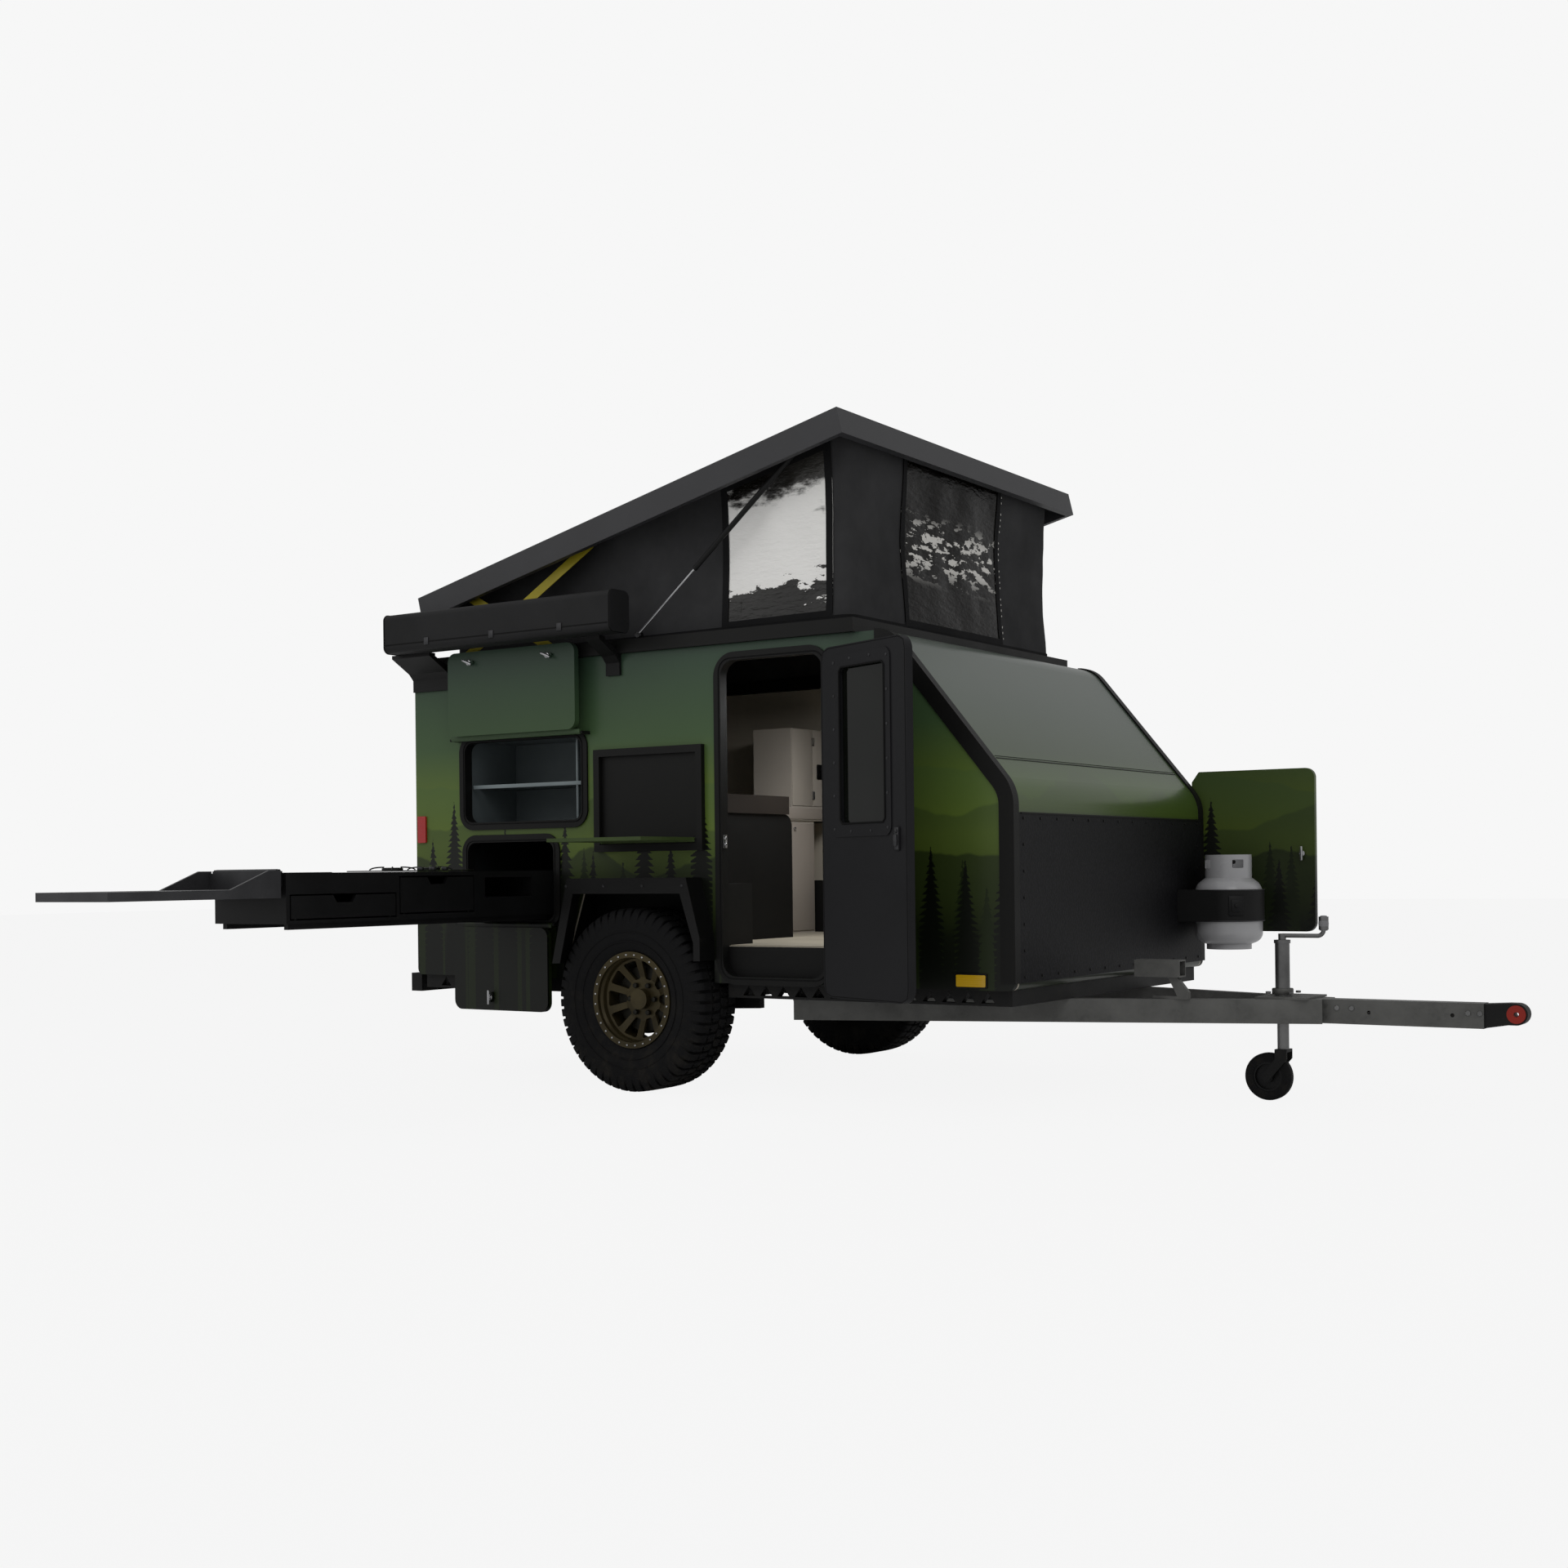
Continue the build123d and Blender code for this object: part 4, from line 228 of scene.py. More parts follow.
def wrapTone(tree, point, paintedShade=0.0):
    parts = addNode(tree, "ShaderNodeSeparateXYZ", {"Vector": point})
    along = calc(tree, "ADD", parts.outputs[0], parts.outputs[1])
    height = parts.outputs[2]
    low, high = wrap["heights"][0], wrap["heights"][-1]
    place = calc(tree, "DIVIDE", calc(tree, "SUBTRACT", height, low), high - low, clamp=True)
    stops = [((level - low) / (high - low), tone) for level, tone in zip(wrap["heights"], wrap["tones"])]
    tone = rampOf(tree, place, *stops)
    line = addNode(tree, "ShaderNodeCombineXYZ", {"X": along}).outputs[0]
    for middle, swing, rate, seed, hill, strength in wrap["hills"]:
        moved = addNode(tree, "ShaderNodeMapping", {"Vector": line, "Location": (seed, 0, 0)}).outputs[0]
        ridge = noiseOf(tree, moved, rate, 4.0, 0.45)
        ridge = calc(tree, "MULTIPLY_ADD", calc(tree, "SUBTRACT", ridge, 0.5), swing * 4, middle)
        under = stepOf(tree, calc(tree, "SUBTRACT", ridge, height), -0.004, 0.010)
        fade = stepOf(tree, calc(tree, "SUBTRACT", ridge, height), 0.42, 0.0)
        tone = mixOf(tree, calc(tree, "MULTIPLY", calc(tree, "MULTIPLY", under, fade), strength), tone, hill)
    for pitch, foot, tall, seed, wood in wrap["trees"]:
        cell = calc(tree, "FLOOR", calc(tree, "DIVIDE", along, pitch))
        chance = addNode(tree, "ShaderNodeTexWhiteNoise", {"W": calc(tree, "ADD", cell, seed)},
                         noise_dimensions="1D").outputs["Value"]
        other = addNode(tree, "ShaderNodeTexWhiteNoise", {"W": calc(tree, "ADD", cell, seed + 77.7)},
                        noise_dimensions="1D").outputs["Value"]
        inCell = calc(tree, "SUBTRACT", calc(tree, "DIVIDE", along, pitch), cell)
        off = calc(tree, "MULTIPLY_ADD", other, 0.30, 0.35)
        reach = calc(tree, "ABSOLUTE", calc(tree, "MULTIPLY", calc(tree, "SUBTRACT", inCell, off), pitch))
        top = calc(tree, "MULTIPLY_ADD", chance, tall, foot - tall * 0.30)
        down = calc(tree, "SUBTRACT", top, height)
        tier = calc(tree, "MULTIPLY_ADD", other, 0.012, 0.026)
        boughs = calc(tree, "FRACT", calc(tree, "DIVIDE", down, tier))
        ragged = noiseOf(tree, point, 70.0, 2.0, 0.7)
        width = calc(tree, "MULTIPLY", down, calc(tree, "MULTIPLY_ADD", boughs, 0.13, 0.085))
        width = calc(tree, "MULTIPLY_ADD", calc(tree, "SUBTRACT", ragged, 0.5), 0.022, width)
        width = calc(tree, "MINIMUM", width, pitch * 0.36)
        inside = stepOf(tree, calc(tree, "SUBTRACT", width, reach), -0.0015, 0.0015)
        below = calc(tree, "GREATER_THAN", down, 0.0)
        tone = mixOf(tree, calc(tree, "MULTIPLY", inside, below), tone, wood)
    # painted shade: the hatches' copies of the print are darkened towards near black
    if paintedShade:
        tone = mixOf(tree, paintedShade, tone, paint(6, 9, 4))
    return tone


def wrapFinish(name, paintedShade=0.0, roughness=0.42):
    finish, tree, shader, point = startFinish(name, roughness, 0.22, coat=0.12, coatRoughness=0.22)
    slow = noiseOf(tree, point, 2.2, 3.0, 0.5)
    tone = wrapTone(tree, point, paintedShade)
    tone = mixOf(tree, calc(tree, "MULTIPLY", slow, 0.16), tone, paint(30, 38, 24))
    parts = addNode(tree, "ShaderNodeSeparateXYZ", {"Vector": point})
    beside = stepOf(tree, calc(tree, "ABSOLUTE", parts.outputs[1]), 0.990, 0.980)
    inner = calc(tree, "MULTIPLY", beside, stepOf(tree, parts.outputs[0], -4.935, -4.925))   # the walls' lining
    tone = mixOf(tree, inner, tone, paint(176, 168, 154))
    feed(tree, shader.inputs["Base Color"], tone)
    bumpOf(tree, shader, noiseOf(tree, point, 5.5, 2.0, 0.5), 0.0016, 0.22)
    return finish


def slopeFinish(name):
    # the front's own print, olive on the nose; the pale grey-green up the slope is partly that print and partly
    # painted light from above with a painted sky reflection
    finish, tree, shader, point = startFinish(name, 0.34, 0.30, coat=0.20, coatRoughness=0.16)
    parts = addNode(tree, "ShaderNodeSeparateXYZ", {"Vector": point})
    place = stepOf(tree, parts.outputs[2], 0.52, 1.62)
    # painted light: the green pales to grey-green up the slope, for light from above and a sky reflection on its
    # upper part
    tone = rampOf(tree, place, (0.0, paint(8, 12, 3)), (0.10, paint(26, 36, 8)), (0.20, paint(66, 88, 20)),
                  (0.34, paint(60, 84, 26)), (0.52, paint(46, 64, 34)), (0.78, paint(60, 74, 60)),
                  (1.0, paint(74, 84, 76)))
    slow = noiseOf(tree, point, 2.6, 4.0, 0.55)
    hill = stepOf(tree, calc(tree, "SUBTRACT", calc(tree, "MULTIPLY_ADD", noiseOf(
        tree, point, 1.6, 3.0, 0.5, stretch=(0.0, 1.0, 0.0)), 0.55, 0.66), parts.outputs[2]), -0.01, 0.02)
    tone = mixOf(tree, calc(tree, "MULTIPLY", hill, 0.30), tone, paint(44, 56, 34))
    tone = mixOf(tree, calc(tree, "MULTIPLY", slow, 0.18), tone, paint(34, 42, 26))
    feed(tree, shader.inputs["Base Color"], tone)
    bumpOf(tree, shader, noiseOf(tree, point, 3.5, 2.0, 0.5), 0.0020, 0.20)
    return finish


def weave(name, colour, threads=520.0, roughness=0.9, specular=0.12, depth=0.0005, patch=2.5, change=0.22):
    # coated canvas: crossed threads and soft dark and light patches
    finish, tree, shader, point = startFinish(name, roughness, specular)
    parts = addNode(tree, "ShaderNodeSeparateXYZ", {"Vector": point})
    across = calc(tree, "ADD", parts.outputs[0], parts.outputs[1])
    turns = threads * 3.1416
    warp = calc(tree, "ABSOLUTE", calc(tree, "SINE", calc(tree, "MULTIPLY", across, turns)))
    weft = calc(tree, "ABSOLUTE", calc(tree, "SINE", calc(tree, "MULTIPLY", parts.outputs[2], turns)))
    cloth = calc(tree, "MULTIPLY", warp, weft)
    slow = noiseOf(tree, point, patch, 4.0, 0.6)
    darker = tuple(part * (1 - change) for part in colour[:3]) + (1.0,)
    lighter = tuple(part * (1 + change * 1.6) + 0.0015 for part in colour[:3]) + (1.0,)
    tone = rampOf(tree, slow, (0.30, darker), (0.70, lighter))
    tone = mixOf(tree, calc(tree, "MULTIPLY", cloth, 0.18), tone, lighter)
    feed(tree, shader.inputs["Base Color"], tone)
    bumpOf(tree, shader, cloth, depth, 0.4)
    return finish


def clearFilm(name, side):
    # the windows' clear film, wrinkled, its colour a painted reflection: pale sky over a dark ragged foot, or dark
    # with painted pale glint streaks
    finish, tree, shader, point = startFinish(name, 0.20, 0.30 if side else 0.12)
    parts = addNode(tree, "ShaderNodeSeparateXYZ", {"Vector": point})
    wander = noiseOf(tree, point, 3.2, 6.0, 0.66, stretch=(1.0, 1.0, 2.4))
    sharp = noiseOf(tree, point, 17.0, 3.0, 0.6, stretch=(1.0, 1.0, 3.0))
    if side:
        level = calc(tree, "MULTIPLY_ADD", calc(tree, "SUBTRACT", wander, 0.5), 0.75, parts.outputs[2])
        level = calc(tree, "MULTIPLY_ADD", calc(tree, "SUBTRACT", sharp, 0.5), 0.16, level)
        # painted sky reflection: pale between two wandering levels, dark outside them
        paintedSky = calc(tree, "MULTIPLY", stepOf(tree, level, 1.820, 1.834), stepOf(tree, level, 2.300, 2.180))
        tone = mixOf(tree, paintedSky, paint(17, 15, 12), paint(236, 235, 232))
        # a painted haze over the reflection
        reflectionHaze = stepOf(tree, noiseOf(tree, point, 2.0, 3.0, 0.5), 0.40, 0.80)
        tone = mixOf(tree, calc(tree, "MULTIPLY", reflectionHaze, 0.12), tone, paint(150, 148, 142))
    else:
        streak = noiseOf(tree, point, 6.0, 5.0, 0.62, stretch=(1.0, 1.6, 4.5))
        height = parts.outputs[2]
        band = calc(tree, "MULTIPLY", stepOf(tree, height, 1.86, 2.00), stepOf(tree, height, 2.22, 2.10))
        # painted glints: pale streaks in a band high on the front film
        glint = calc(tree, "MULTIPLY", stepOf(tree, streak, 0.545, 0.560), band)
        tone = mixOf(tree, glint, paint(12, 10, 8), paint(205, 203, 198))
    feed(tree, shader.inputs["Base Color"], tone)
    folds = calc(tree, "ADD", calc(tree, "MULTIPLY", wander, 2.0), sharp)
    bumpOf(tree, shader, folds, 0.012, 0.35)
    return finish


def glassFinish(name, colour, specular=0.4, roughness=0.06):
    finish, tree, shader, point = startFinish(name, roughness, specular)
    slow = noiseOf(tree, point, 2.4, 2.0, 0.5)
    lighter = tuple(part * 1.8 + 0.002 for part in colour[:3]) + (1.0,)
    feed(tree, shader.inputs["Base Color"], rampOf(tree, slow, (0.35, colour), (0.75, lighter)))
    bumpOf(tree, shader, noiseOf(tree, point, 3.0, 1.0, 0.4), 0.0012, 0.2)
    return finish


def twoTone(name, kind, first, second, roughness, specular):
    # second shows on upward faces, or ahead of the axle
    finish, tree, shader, point = startFinish(name, roughness, specular, coat=0.4 if kind == "ahead" else 0.0)
    if kind == "up":
        facing = addNode(tree, "ShaderNodeNewGeometry").outputs["True Normal"]
        share = stepOf(tree, addNode(tree, "ShaderNodeSeparateXYZ", {"Vector": facing}).outputs[2], 0.4, 0.6)
        height = noiseOf(tree, point, 300.0, 2.0, 0.5)
        depth = 0.0003
    else:
        parts = addNode(tree, "ShaderNodeSeparateXYZ", {"Vector": point})
        share = stepOf(tree, parts.outputs[0], -3.0, -2.9)
        height = calc(tree, "ABSOLUTE", calc(tree, "SINE", calc(tree, "MULTIPLY", parts.outputs[2], 380.0)))
        depth = 0.0010
    slow = noiseOf(tree, point, 3.0, 3.0, 0.5)
    tone = mixOf(tree, share, first, second)
    tone = mixOf(tree, calc(tree, "MULTIPLY", slow, 0.18), tone, paint(20, 18, 15))
    feed(tree, shader.inputs["Base Color"], tone)
    bumpOf(tree, shader, height, depth, 0.4)
    return finish


finishes = {
    "floorBoard": twoTone("floor_board", "up", paint(9, 9, 9), paint(158, 151, 136), 0.6, 0.2),
    "lampLens": twoTone("lamp_lens", "ahead", paint(170, 16, 14), paint(196, 156, 18), 0.2, 0.5),
    "wrapPaint": wrapFinish("wrap_print"),
    # the hatches' copies of the print carry painted shade, the far locker's the most
    "hatchPaintShaded": wrapFinish("hatch_print_painted_shade", 0.12),
    "lockerPaintShaded": wrapFinish("locker_print_painted_shade", 0.45, 0.5),
    "slopePaintAndLight": slopeFinish("slope_print_and_painted_light"),
    "guardSheet": pebbled("guard_pebble", paint(15, 15, 17)),
    "trimBlack": mottled("trim_black", paint(15, 15, 14), 0.50, 0.18),
    "doorBlack": mottled("door_black", paint(25, 25, 27), 0.48, 0.16, grain=500),
    "powderBlack": mottled("powder_black", paint(14, 14, 14), 0.55, 0.22, grain=700, dust=0.12),
    "flareBlack": mottled("flare_black", paint(10, 10, 10), 0.45, 0.22, grain=420, grainDepth=0.0001),
    "lidShell": mottled("lid_shell", paint(54, 54, 56), 0.46, 0.26, grain=600),
    "lidEdge": mottled("lid_edge", paint(36, 36, 38), 0.50, 0.25),
    "bagVinyl": weave("bag_vinyl", paint(22, 22, 23), 380, 0.62, 0.22, 0.0004),
    "canvasCloth": weave("canvas_cloth", paint(50, 50, 51), 520, 0.92, 0.08, 0.0005),
    "canvasHem": weave("canvas_hem", paint(17, 17, 18), 420, 0.85, 0.14, 0.0006),
    "sideFilmPaintedSky": clearFilm("side_film_painted_reflection", True),
    "frontFilmPaintedGlint": clearFilm("front_film_painted_glint", False),
    "barYellow": mottled("bar_yellow", paint(160, 147, 36), 0.45, 0.28, change=0.18, dust=0.0),
    "zincDip": metalSheet("zinc_dip", paint(92, 92, 90), 0.50, 0.55, spangle=75.0),
    "zincPlate": metalSheet("zinc_plate", paint(118, 118, 118), 0.34, 0.80),
    "steelBright": metalSheet("steel_bright", paint(176, 176, 178), 0.22, 0.90),
    "leafTop": metalSheet("leaf_brushed", paint(62, 62, 64), 0.40, 0.45, brush=(600, 6, 600)),
    "kitchenBlack": mottled("kitchen_black", paint(13, 13, 14), 0.45, 0.22, grain=800),
    "rimBronze": metalSheet("rim_bronze", paint(66, 58, 36), 0.40, 0.55),
    "rimDark": metalSheet("rim_dark", paint(30, 28, 20), 0.45, 0.40),
    "tyreRubber": mottled("tyre_rubber", paint(14, 14, 15), 0.74, 0.16, grain=300, grainDepth=0.00015,
                          dust=0.10),
    "sealRubber": mottled("seal_rubber", paint(9, 9, 9), 0.70, 0.15),
    "darkGlass": glassFinish("dark_glass", paint(10, 12, 9), 0.22),
    "bottleWhite": mottled("bottle_white", paint(158, 158, 160), 0.30, 0.5, change=0.06, coat=0.3, dust=0.05),
    "bushRed": mottled("bush_red", paint(132, 30, 18), 0.55, 0.3),
    "paleBoard": mottled("pale_board", paint(168, 161, 152), 0.60, 0.25, change=0.05),
    "beigeBoard": mottled("beige_board", paint(150, 142, 134), 0.62, 0.2, change=0.05),
    "slabDark": mottled("slab_dark", paint(30, 25, 22), 0.40, 0.3),
    "cabinetBlack": mottled("cabinet_black", paint(9, 9, 9), 0.55, 0.15),
    "floorTan": mottled("floor_tan", paint(150, 143, 128), 0.65, 0.2),
    "linerGrey": mottled("liner_grey", paint(84, 92, 94), 0.55, 0.3, change=0.10),
    "zipWhite": mottled("zip_white", paint(196, 194, 188), 0.6, 0.3),
    "screwDark": metalSheet("screw_dark", paint(58, 58, 60), 0.38, 0.6),
    "brassBody": metalSheet("brass_body", paint(150, 122, 60), 0.35, 0.8),
    "knobGrey": mottled("knob_grey", paint(120, 120, 122), 0.4, 0.4),
    "shelfEdge": mottled("shelf_edge", paint(120, 130, 132), 0.45, 0.3),
    "leafGreen": mottled("leaf_green", paint(58, 72, 38), 0.5, 0.2, change=0.15),
    "bayDark": mottled("bay_dark", paint(20, 22, 22), 0.60, 0.2),
}
print("finishes made")

nodeFinish = {
    "chassis_frame": "powderBlack", "drawbar": "zincDip", "coupling": "powderBlack", "coupling_bush": "bushRed",
    "receiver_stub": "zincDip", "trailing_arms": "powderBlack", "air_springs": "sealRubber",
    "wall_right": "wrapPaint", "wall_left": "wrapPaint", "wall_rear": "wrapPaint", "front_shell": "slopePaintAndLight",
    "floor_box": "floorBoard", "front_guard": "guardSheet", "corner_trims": "trimBlack", "top_rail": "trimBlack",
    "fenders": "flareBlack", "wheel_wells": "powderBlack", "opening_frames": "trimBlack",
    "table_frame": "trimBlack", "pantry_box": "linerGrey", "kitchen_bay": "bayDark",
    "black_cabinet": "cabinetBlack", "cabinet_slab": "slabDark", "pale_cabinets": "paleBoard",
    "awning_case": "bagVinyl", "awning_brackets": "powderBlack", "gas_bottle": "bottleWhite",
    "bottle_bracket": "powderBlack", "jack_tube": "zincPlate", "lamps": "lampLens", "rear_bumper": "powderBlack",
    "window_frames": "trimBlack", "window_panes": "darkGlass", "canvas": "canvasCloth",
    "lid_fascia": "lidShell", "lid_roof": "lidEdge", "arms_long": "barYellow", "arms_short": "barYellow",
    "strut_tubes": "powderBlack", "strut_rods": "steelBright", "entry_door": "doorBlack", "door_pane": "darkGlass",
    "pantry_hatch": "hatchPaintShaded", "table_leaf": "leafGreen", "galley_hatch": "hatchPaintShaded",
    "locker_hatch": "lockerPaintShaded", "kitchen_box": "kitchenBlack", "worktop": "kitchenBlack",
    "drawer_lower": "kitchenBlack", "drawer_upper": "kitchenBlack", "kitchen_leaf": "leafTop",
    "tyre_right": "tyreRubber", "tyre_left": "tyreRubber", "rim_right": "rimBronze", "rim_left": "rimBronze",
    "jack_leg": "zincPlate", "jockey_fork": "powderBlack", "jockey_rim": "kitchenBlack",
    "jockey_tyre": "tyreRubber",
}
for nodeName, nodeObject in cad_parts.items():
    nodeObject.data.materials.clear()
    nodeObject.data.materials.append(finishes[nodeFinish[nodeName]])
print("nodes dressed:", len(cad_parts))


# Camera, floor and light

view = {"place": (1.664, -7.673, 0.597), "turn": 33.68, "roll": -0.66, "lens": 42.81, "rise": 0.055}

turn, roll = math.radians(view["turn"]), math.radians(view["roll"])
ahead = Vector((-math.sin(turn), math.cos(turn), 0))
right = Vector((math.cos(turn), math.sin(turn), 0))
up = Vector((0, 0, 1))
rolledRight = math.cos(roll) * right + math.sin(roll) * up
rolledUp = -math.sin(roll) * right + math.cos(roll) * up
facing = Matrix((rolledRight, rolledUp, -ahead)).transposed().to_4x4()
bpy.ops.object.camera_add()
camera = bpy.context.object
camera.matrix_world = Matrix.Translation(view["place"]) @ facing
camera.data.lens = view["lens"]
camera.data.sensor_width = 36
camera.data.shift_y = view["rise"]
bpy.context.scene.camera = camera

stageLook = {
    "floorTones": (paint(238, 238, 238), paint(242, 242, 242)), "glow": paint(247, 247, 247), "glowShare": 0.96,
    "behind": 0.93, "around": 0.55, "floorSize": 90, "floorDrop": 0.001, "aim": (-3.2, 0.0, 0.6),
}

bpy.ops.mesh.primitive_plane_add(size=stageLook["floorSize"], location=(0, 0, -eyeHeight - stageLook["floorDrop"]))
floor = bpy.context.object
floor.name = "studio_floor"
floorFinish, tree, shader, point = startFinish("studio_floor_pale", 0.9, 0.0)
output = tree.nodes["Material Output"]
darkFloor, paleFloor = stageLook["floorTones"]
floorTone = rampOf(tree, noiseOf(tree, point, 0.4), (0.0, darkFloor), (1.0, paleFloor))
feed(tree, shader.inputs["Base Color"], floorTone)
glow = addNode(tree, "ShaderNodeEmission", {"Color": stageLook["glow"], "Strength": 1.0}).outputs[0]
seen = addNode(tree, "ShaderNodeLightPath").outputs["Is Camera Ray"]
lit = addNode(tree, "ShaderNodeMixShader", {0: stageLook["glowShare"]})
tree.links.new(shader.outputs[0], lit.inputs[1])
tree.links.new(glow, lit.inputs[2])
both = addNode(tree, "ShaderNodeMixShader", {0: seen})
tree.links.new(shader.outputs[0], both.inputs[1])
tree.links.new(lit.outputs[0], both.inputs[2])
tree.links.new(both.outputs[0], output.inputs["Surface"])
floor.data.materials.append(floorFinish)

bpy.context.scene.view_settings.view_transform = "Standard"
world = bpy.data.worlds.new("soft_room")
bpy.context.scene.world = world
world.use_nodes = True
tree = world.node_tree
plain = tree.nodes["Background"]
plain.inputs["Color"].default_value = (1, 1, 1, 1)
plain.inputs["Strength"].default_value = stageLook["around"]
shown = addNode(tree, "ShaderNodeBackground", {"Color": (1, 1, 1, 1), "Strength": stageLook["behind"]})
rays = addNode(tree, "ShaderNodeLightPath")
direct = calc(tree, "MAXIMUM", rays.outputs["Is Camera Ray"], rays.outputs["Is Transmission Ray"])
mixed = addNode(tree, "ShaderNodeMixShader", {0: direct})
tree.links.new(plain.outputs[0], mixed.inputs[1])
tree.links.new(shown.outputs[0], mixed.inputs[2])
tree.links.new(mixed.outputs[0], tree.nodes["World Output"].inputs["Surface"])

# name, place, size, power
lamps = (("key", (3.2, -6.5, 6.5), 5.0, 120), ("side", (-6.5, -6.0, 4.5), 5.0, 60),
         ("inside", (-2.9, -0.1, 1.50), 0.6, 16))
for lampName, place, size, power in lamps:
    aim = Vector(stageLook["aim"]) - Vector(place) if lampName != "inside" else Vector((0, 0, -1))
    bpy.ops.object.light_add(type="AREA", location=place, rotation=aim.to_track_quat("-Z", "Y").to_euler())
    lamp = bpy.context.object
    lamp.name = "lamp_" + lampName
    lamp.data.size = size
    lamp.data.energy = power
print("camera and light set")


# Small tools for modelling

def letGo():
    if bpy.context.object and bpy.context.object.mode != "OBJECT":
        bpy.ops.object.mode_set(mode="OBJECT")
    bpy.ops.object.select_all(action="DESELECT")


def take(piece):
    letGo()
    piece.select_set(True)
    bpy.context.view_layer.objects.active = piece


def settle(piece):
    # its place and turn go into its mesh
    take(piece)
    bpy.ops.object.transform_apply(location=True, rotation=True, scale=True)
    return piece


def joined(pieces):
    letGo()
    for piece in pieces:
        piece.select_set(True)
    bpy.context.view_layer.objects.active = pieces[0]
    if len(pieces) > 1:
        bpy.ops.object.join()
    return bpy.context.object


def finishPiece(piece, name, body, finish, smooth=32, stands=()):
    settle(piece)
    piece.name = name
    piece.data.name = name
    piece.data.materials.clear()
    piece.data.materials.append(finishes[finish])
    if smooth:
        bpy.ops.object.shade_smooth_by_angle(angle=math.radians(smooth))
    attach(piece, body)
    for stood in stands:
        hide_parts(stood)
    return piece


def squared(piece):
    # doubles merged, all faces outward
    take(piece)
    bpy.ops.object.mode_set(mode="EDIT")
    bpy.ops.mesh.select_all(action="SELECT")
    bpy.ops.mesh.remove_doubles(threshold=0.00002)
    bpy.ops.mesh.normals_make_consistent(inside=False)
    bpy.ops.object.mode_set(mode="OBJECT")
    return piece


def eased(piece, width, steps=2, sharp=35):
    # the sharp edges are rounded
    if width:
        take(piece)
        bpy.ops.object.mode_set(mode="EDIT")
        bpy.ops.mesh.select_mode(type="EDGE")
        bpy.ops.mesh.select_all(action="DESELECT")
        bpy.ops.mesh.edges_select_sharp(sharpness=math.radians(sharp))
        bpy.ops.mesh.bevel(offset=width, segments=steps, affect="EDGES")
        bpy.ops.object.mode_set(mode="OBJECT")
    return piece


def block(low, high, ease=0.0, steps=2):
    letGo()
    low, high = Vector(low), Vector(high)
    bpy.ops.mesh.primitive_cube_add(size=1, location=(low + high) / 2, scale=high - low)
    return eased(settle(bpy.context.object), ease, steps)


def disc(middle, facing, radius, depth, sides=24, ease=0.0, steps=2):
    letGo()
    turned = Vector(facing).to_track_quat("Z", "Y").to_euler()
    bpy.ops.mesh.primitive_cylinder_add(
        vertices=sides, radius=radius, depth=depth, location=middle, rotation=turned)
    return eased(settle(bpy.context.object), ease, steps)


def line(points, closed=False):
    # an edge drawn point by point
    letGo()
    points = [Vector(point) for point in points]
    bpy.ops.mesh.primitive_plane_add(size=0.01, location=points[0])
    bpy.ops.object.mode_set(mode="EDIT")
    bpy.ops.mesh.select_mode(type="VERT")
    bpy.ops.mesh.select_all(action="SELECT")
    bpy.ops.mesh.merge(type="CENTER")
    for here, there in zip(points, points[1:]):
        bpy.ops.mesh.extrude_vertices_move(TRANSFORM_OT_translate={"value": there - here})
    if closed:
        bpy.ops.mesh.select_all(action="SELECT")
        bpy.ops.mesh.edge_face_add()
    bpy.ops.object.mode_set(mode="OBJECT")
    return settle(bpy.context.object)


def plate(points, thick, ease=0.0, steps=2):
    # a flat outline given its thickness
    piece = line(points, closed=True)
    take(piece)
    bpy.ops.object.mode_set(mode="EDIT")
    bpy.ops.mesh.select_all(action="SELECT")
    bpy.ops.mesh.extrude_region_move(TRANSFORM_OT_translate={"value": Vector(thick)})
    bpy.ops.object.mode_set(mode="OBJECT")
    return eased(squared(piece), ease, steps)


def turnedShape(points, middle, spinAxis, steps=64, closed=True):
    # a profile spun all the way round
    piece = line(points)
    take(piece)
    bpy.ops.object.mode_set(mode="EDIT")
    bpy.ops.mesh.select_all(action="SELECT")
    if closed:
        bpy.ops.mesh.select_all(action="DESELECT")
        bpy.ops.object.mode_set(mode="OBJECT")
        piece.data.vertices[0].select = True
        piece.data.vertices[len(points) - 1].select = True
        bpy.ops.object.mode_set(mode="EDIT")
        bpy.ops.mesh.select_mode(type="VERT")
        bpy.ops.mesh.edge_face_add()
        bpy.ops.mesh.select_all(action="SELECT")
    bpy.ops.mesh.spin(steps=steps, angle=2 * math.pi, center=middle, axis=spinAxis)
    bpy.ops.object.mode_set(mode="OBJECT")
    return squared(piece)


def repeated(piece, middle, spinAxis, count):
    # the same shape set round an axle
    take(piece)
    bpy.ops.object.mode_set(mode="EDIT")
    bpy.ops.mesh.select_all(action="SELECT")
    angle = 2 * math.pi * (count - 1) / count
    bpy.ops.mesh.spin(steps=count - 1, dupli=True, angle=angle, center=middle, axis=spinAxis)
    bpy.ops.object.mode_set(mode="OBJECT")
    return piece


def copiesAt(piece, places):
    # copies of a piece that was made at the origin facing up, each set at a place and facing
    made = []
    for middle, facing in places:
        take(piece)
        bpy.ops.object.duplicate()
        copy = bpy.context.object
        turned = Vector(facing).to_track_quat("Z", "Y").to_matrix().to_4x4()
        copy.matrix_world = Matrix.Translation(middle) @ turned
        made.append(settle(copy))
    take(piece)
    bpy.ops.object.delete()
    return joined(made)


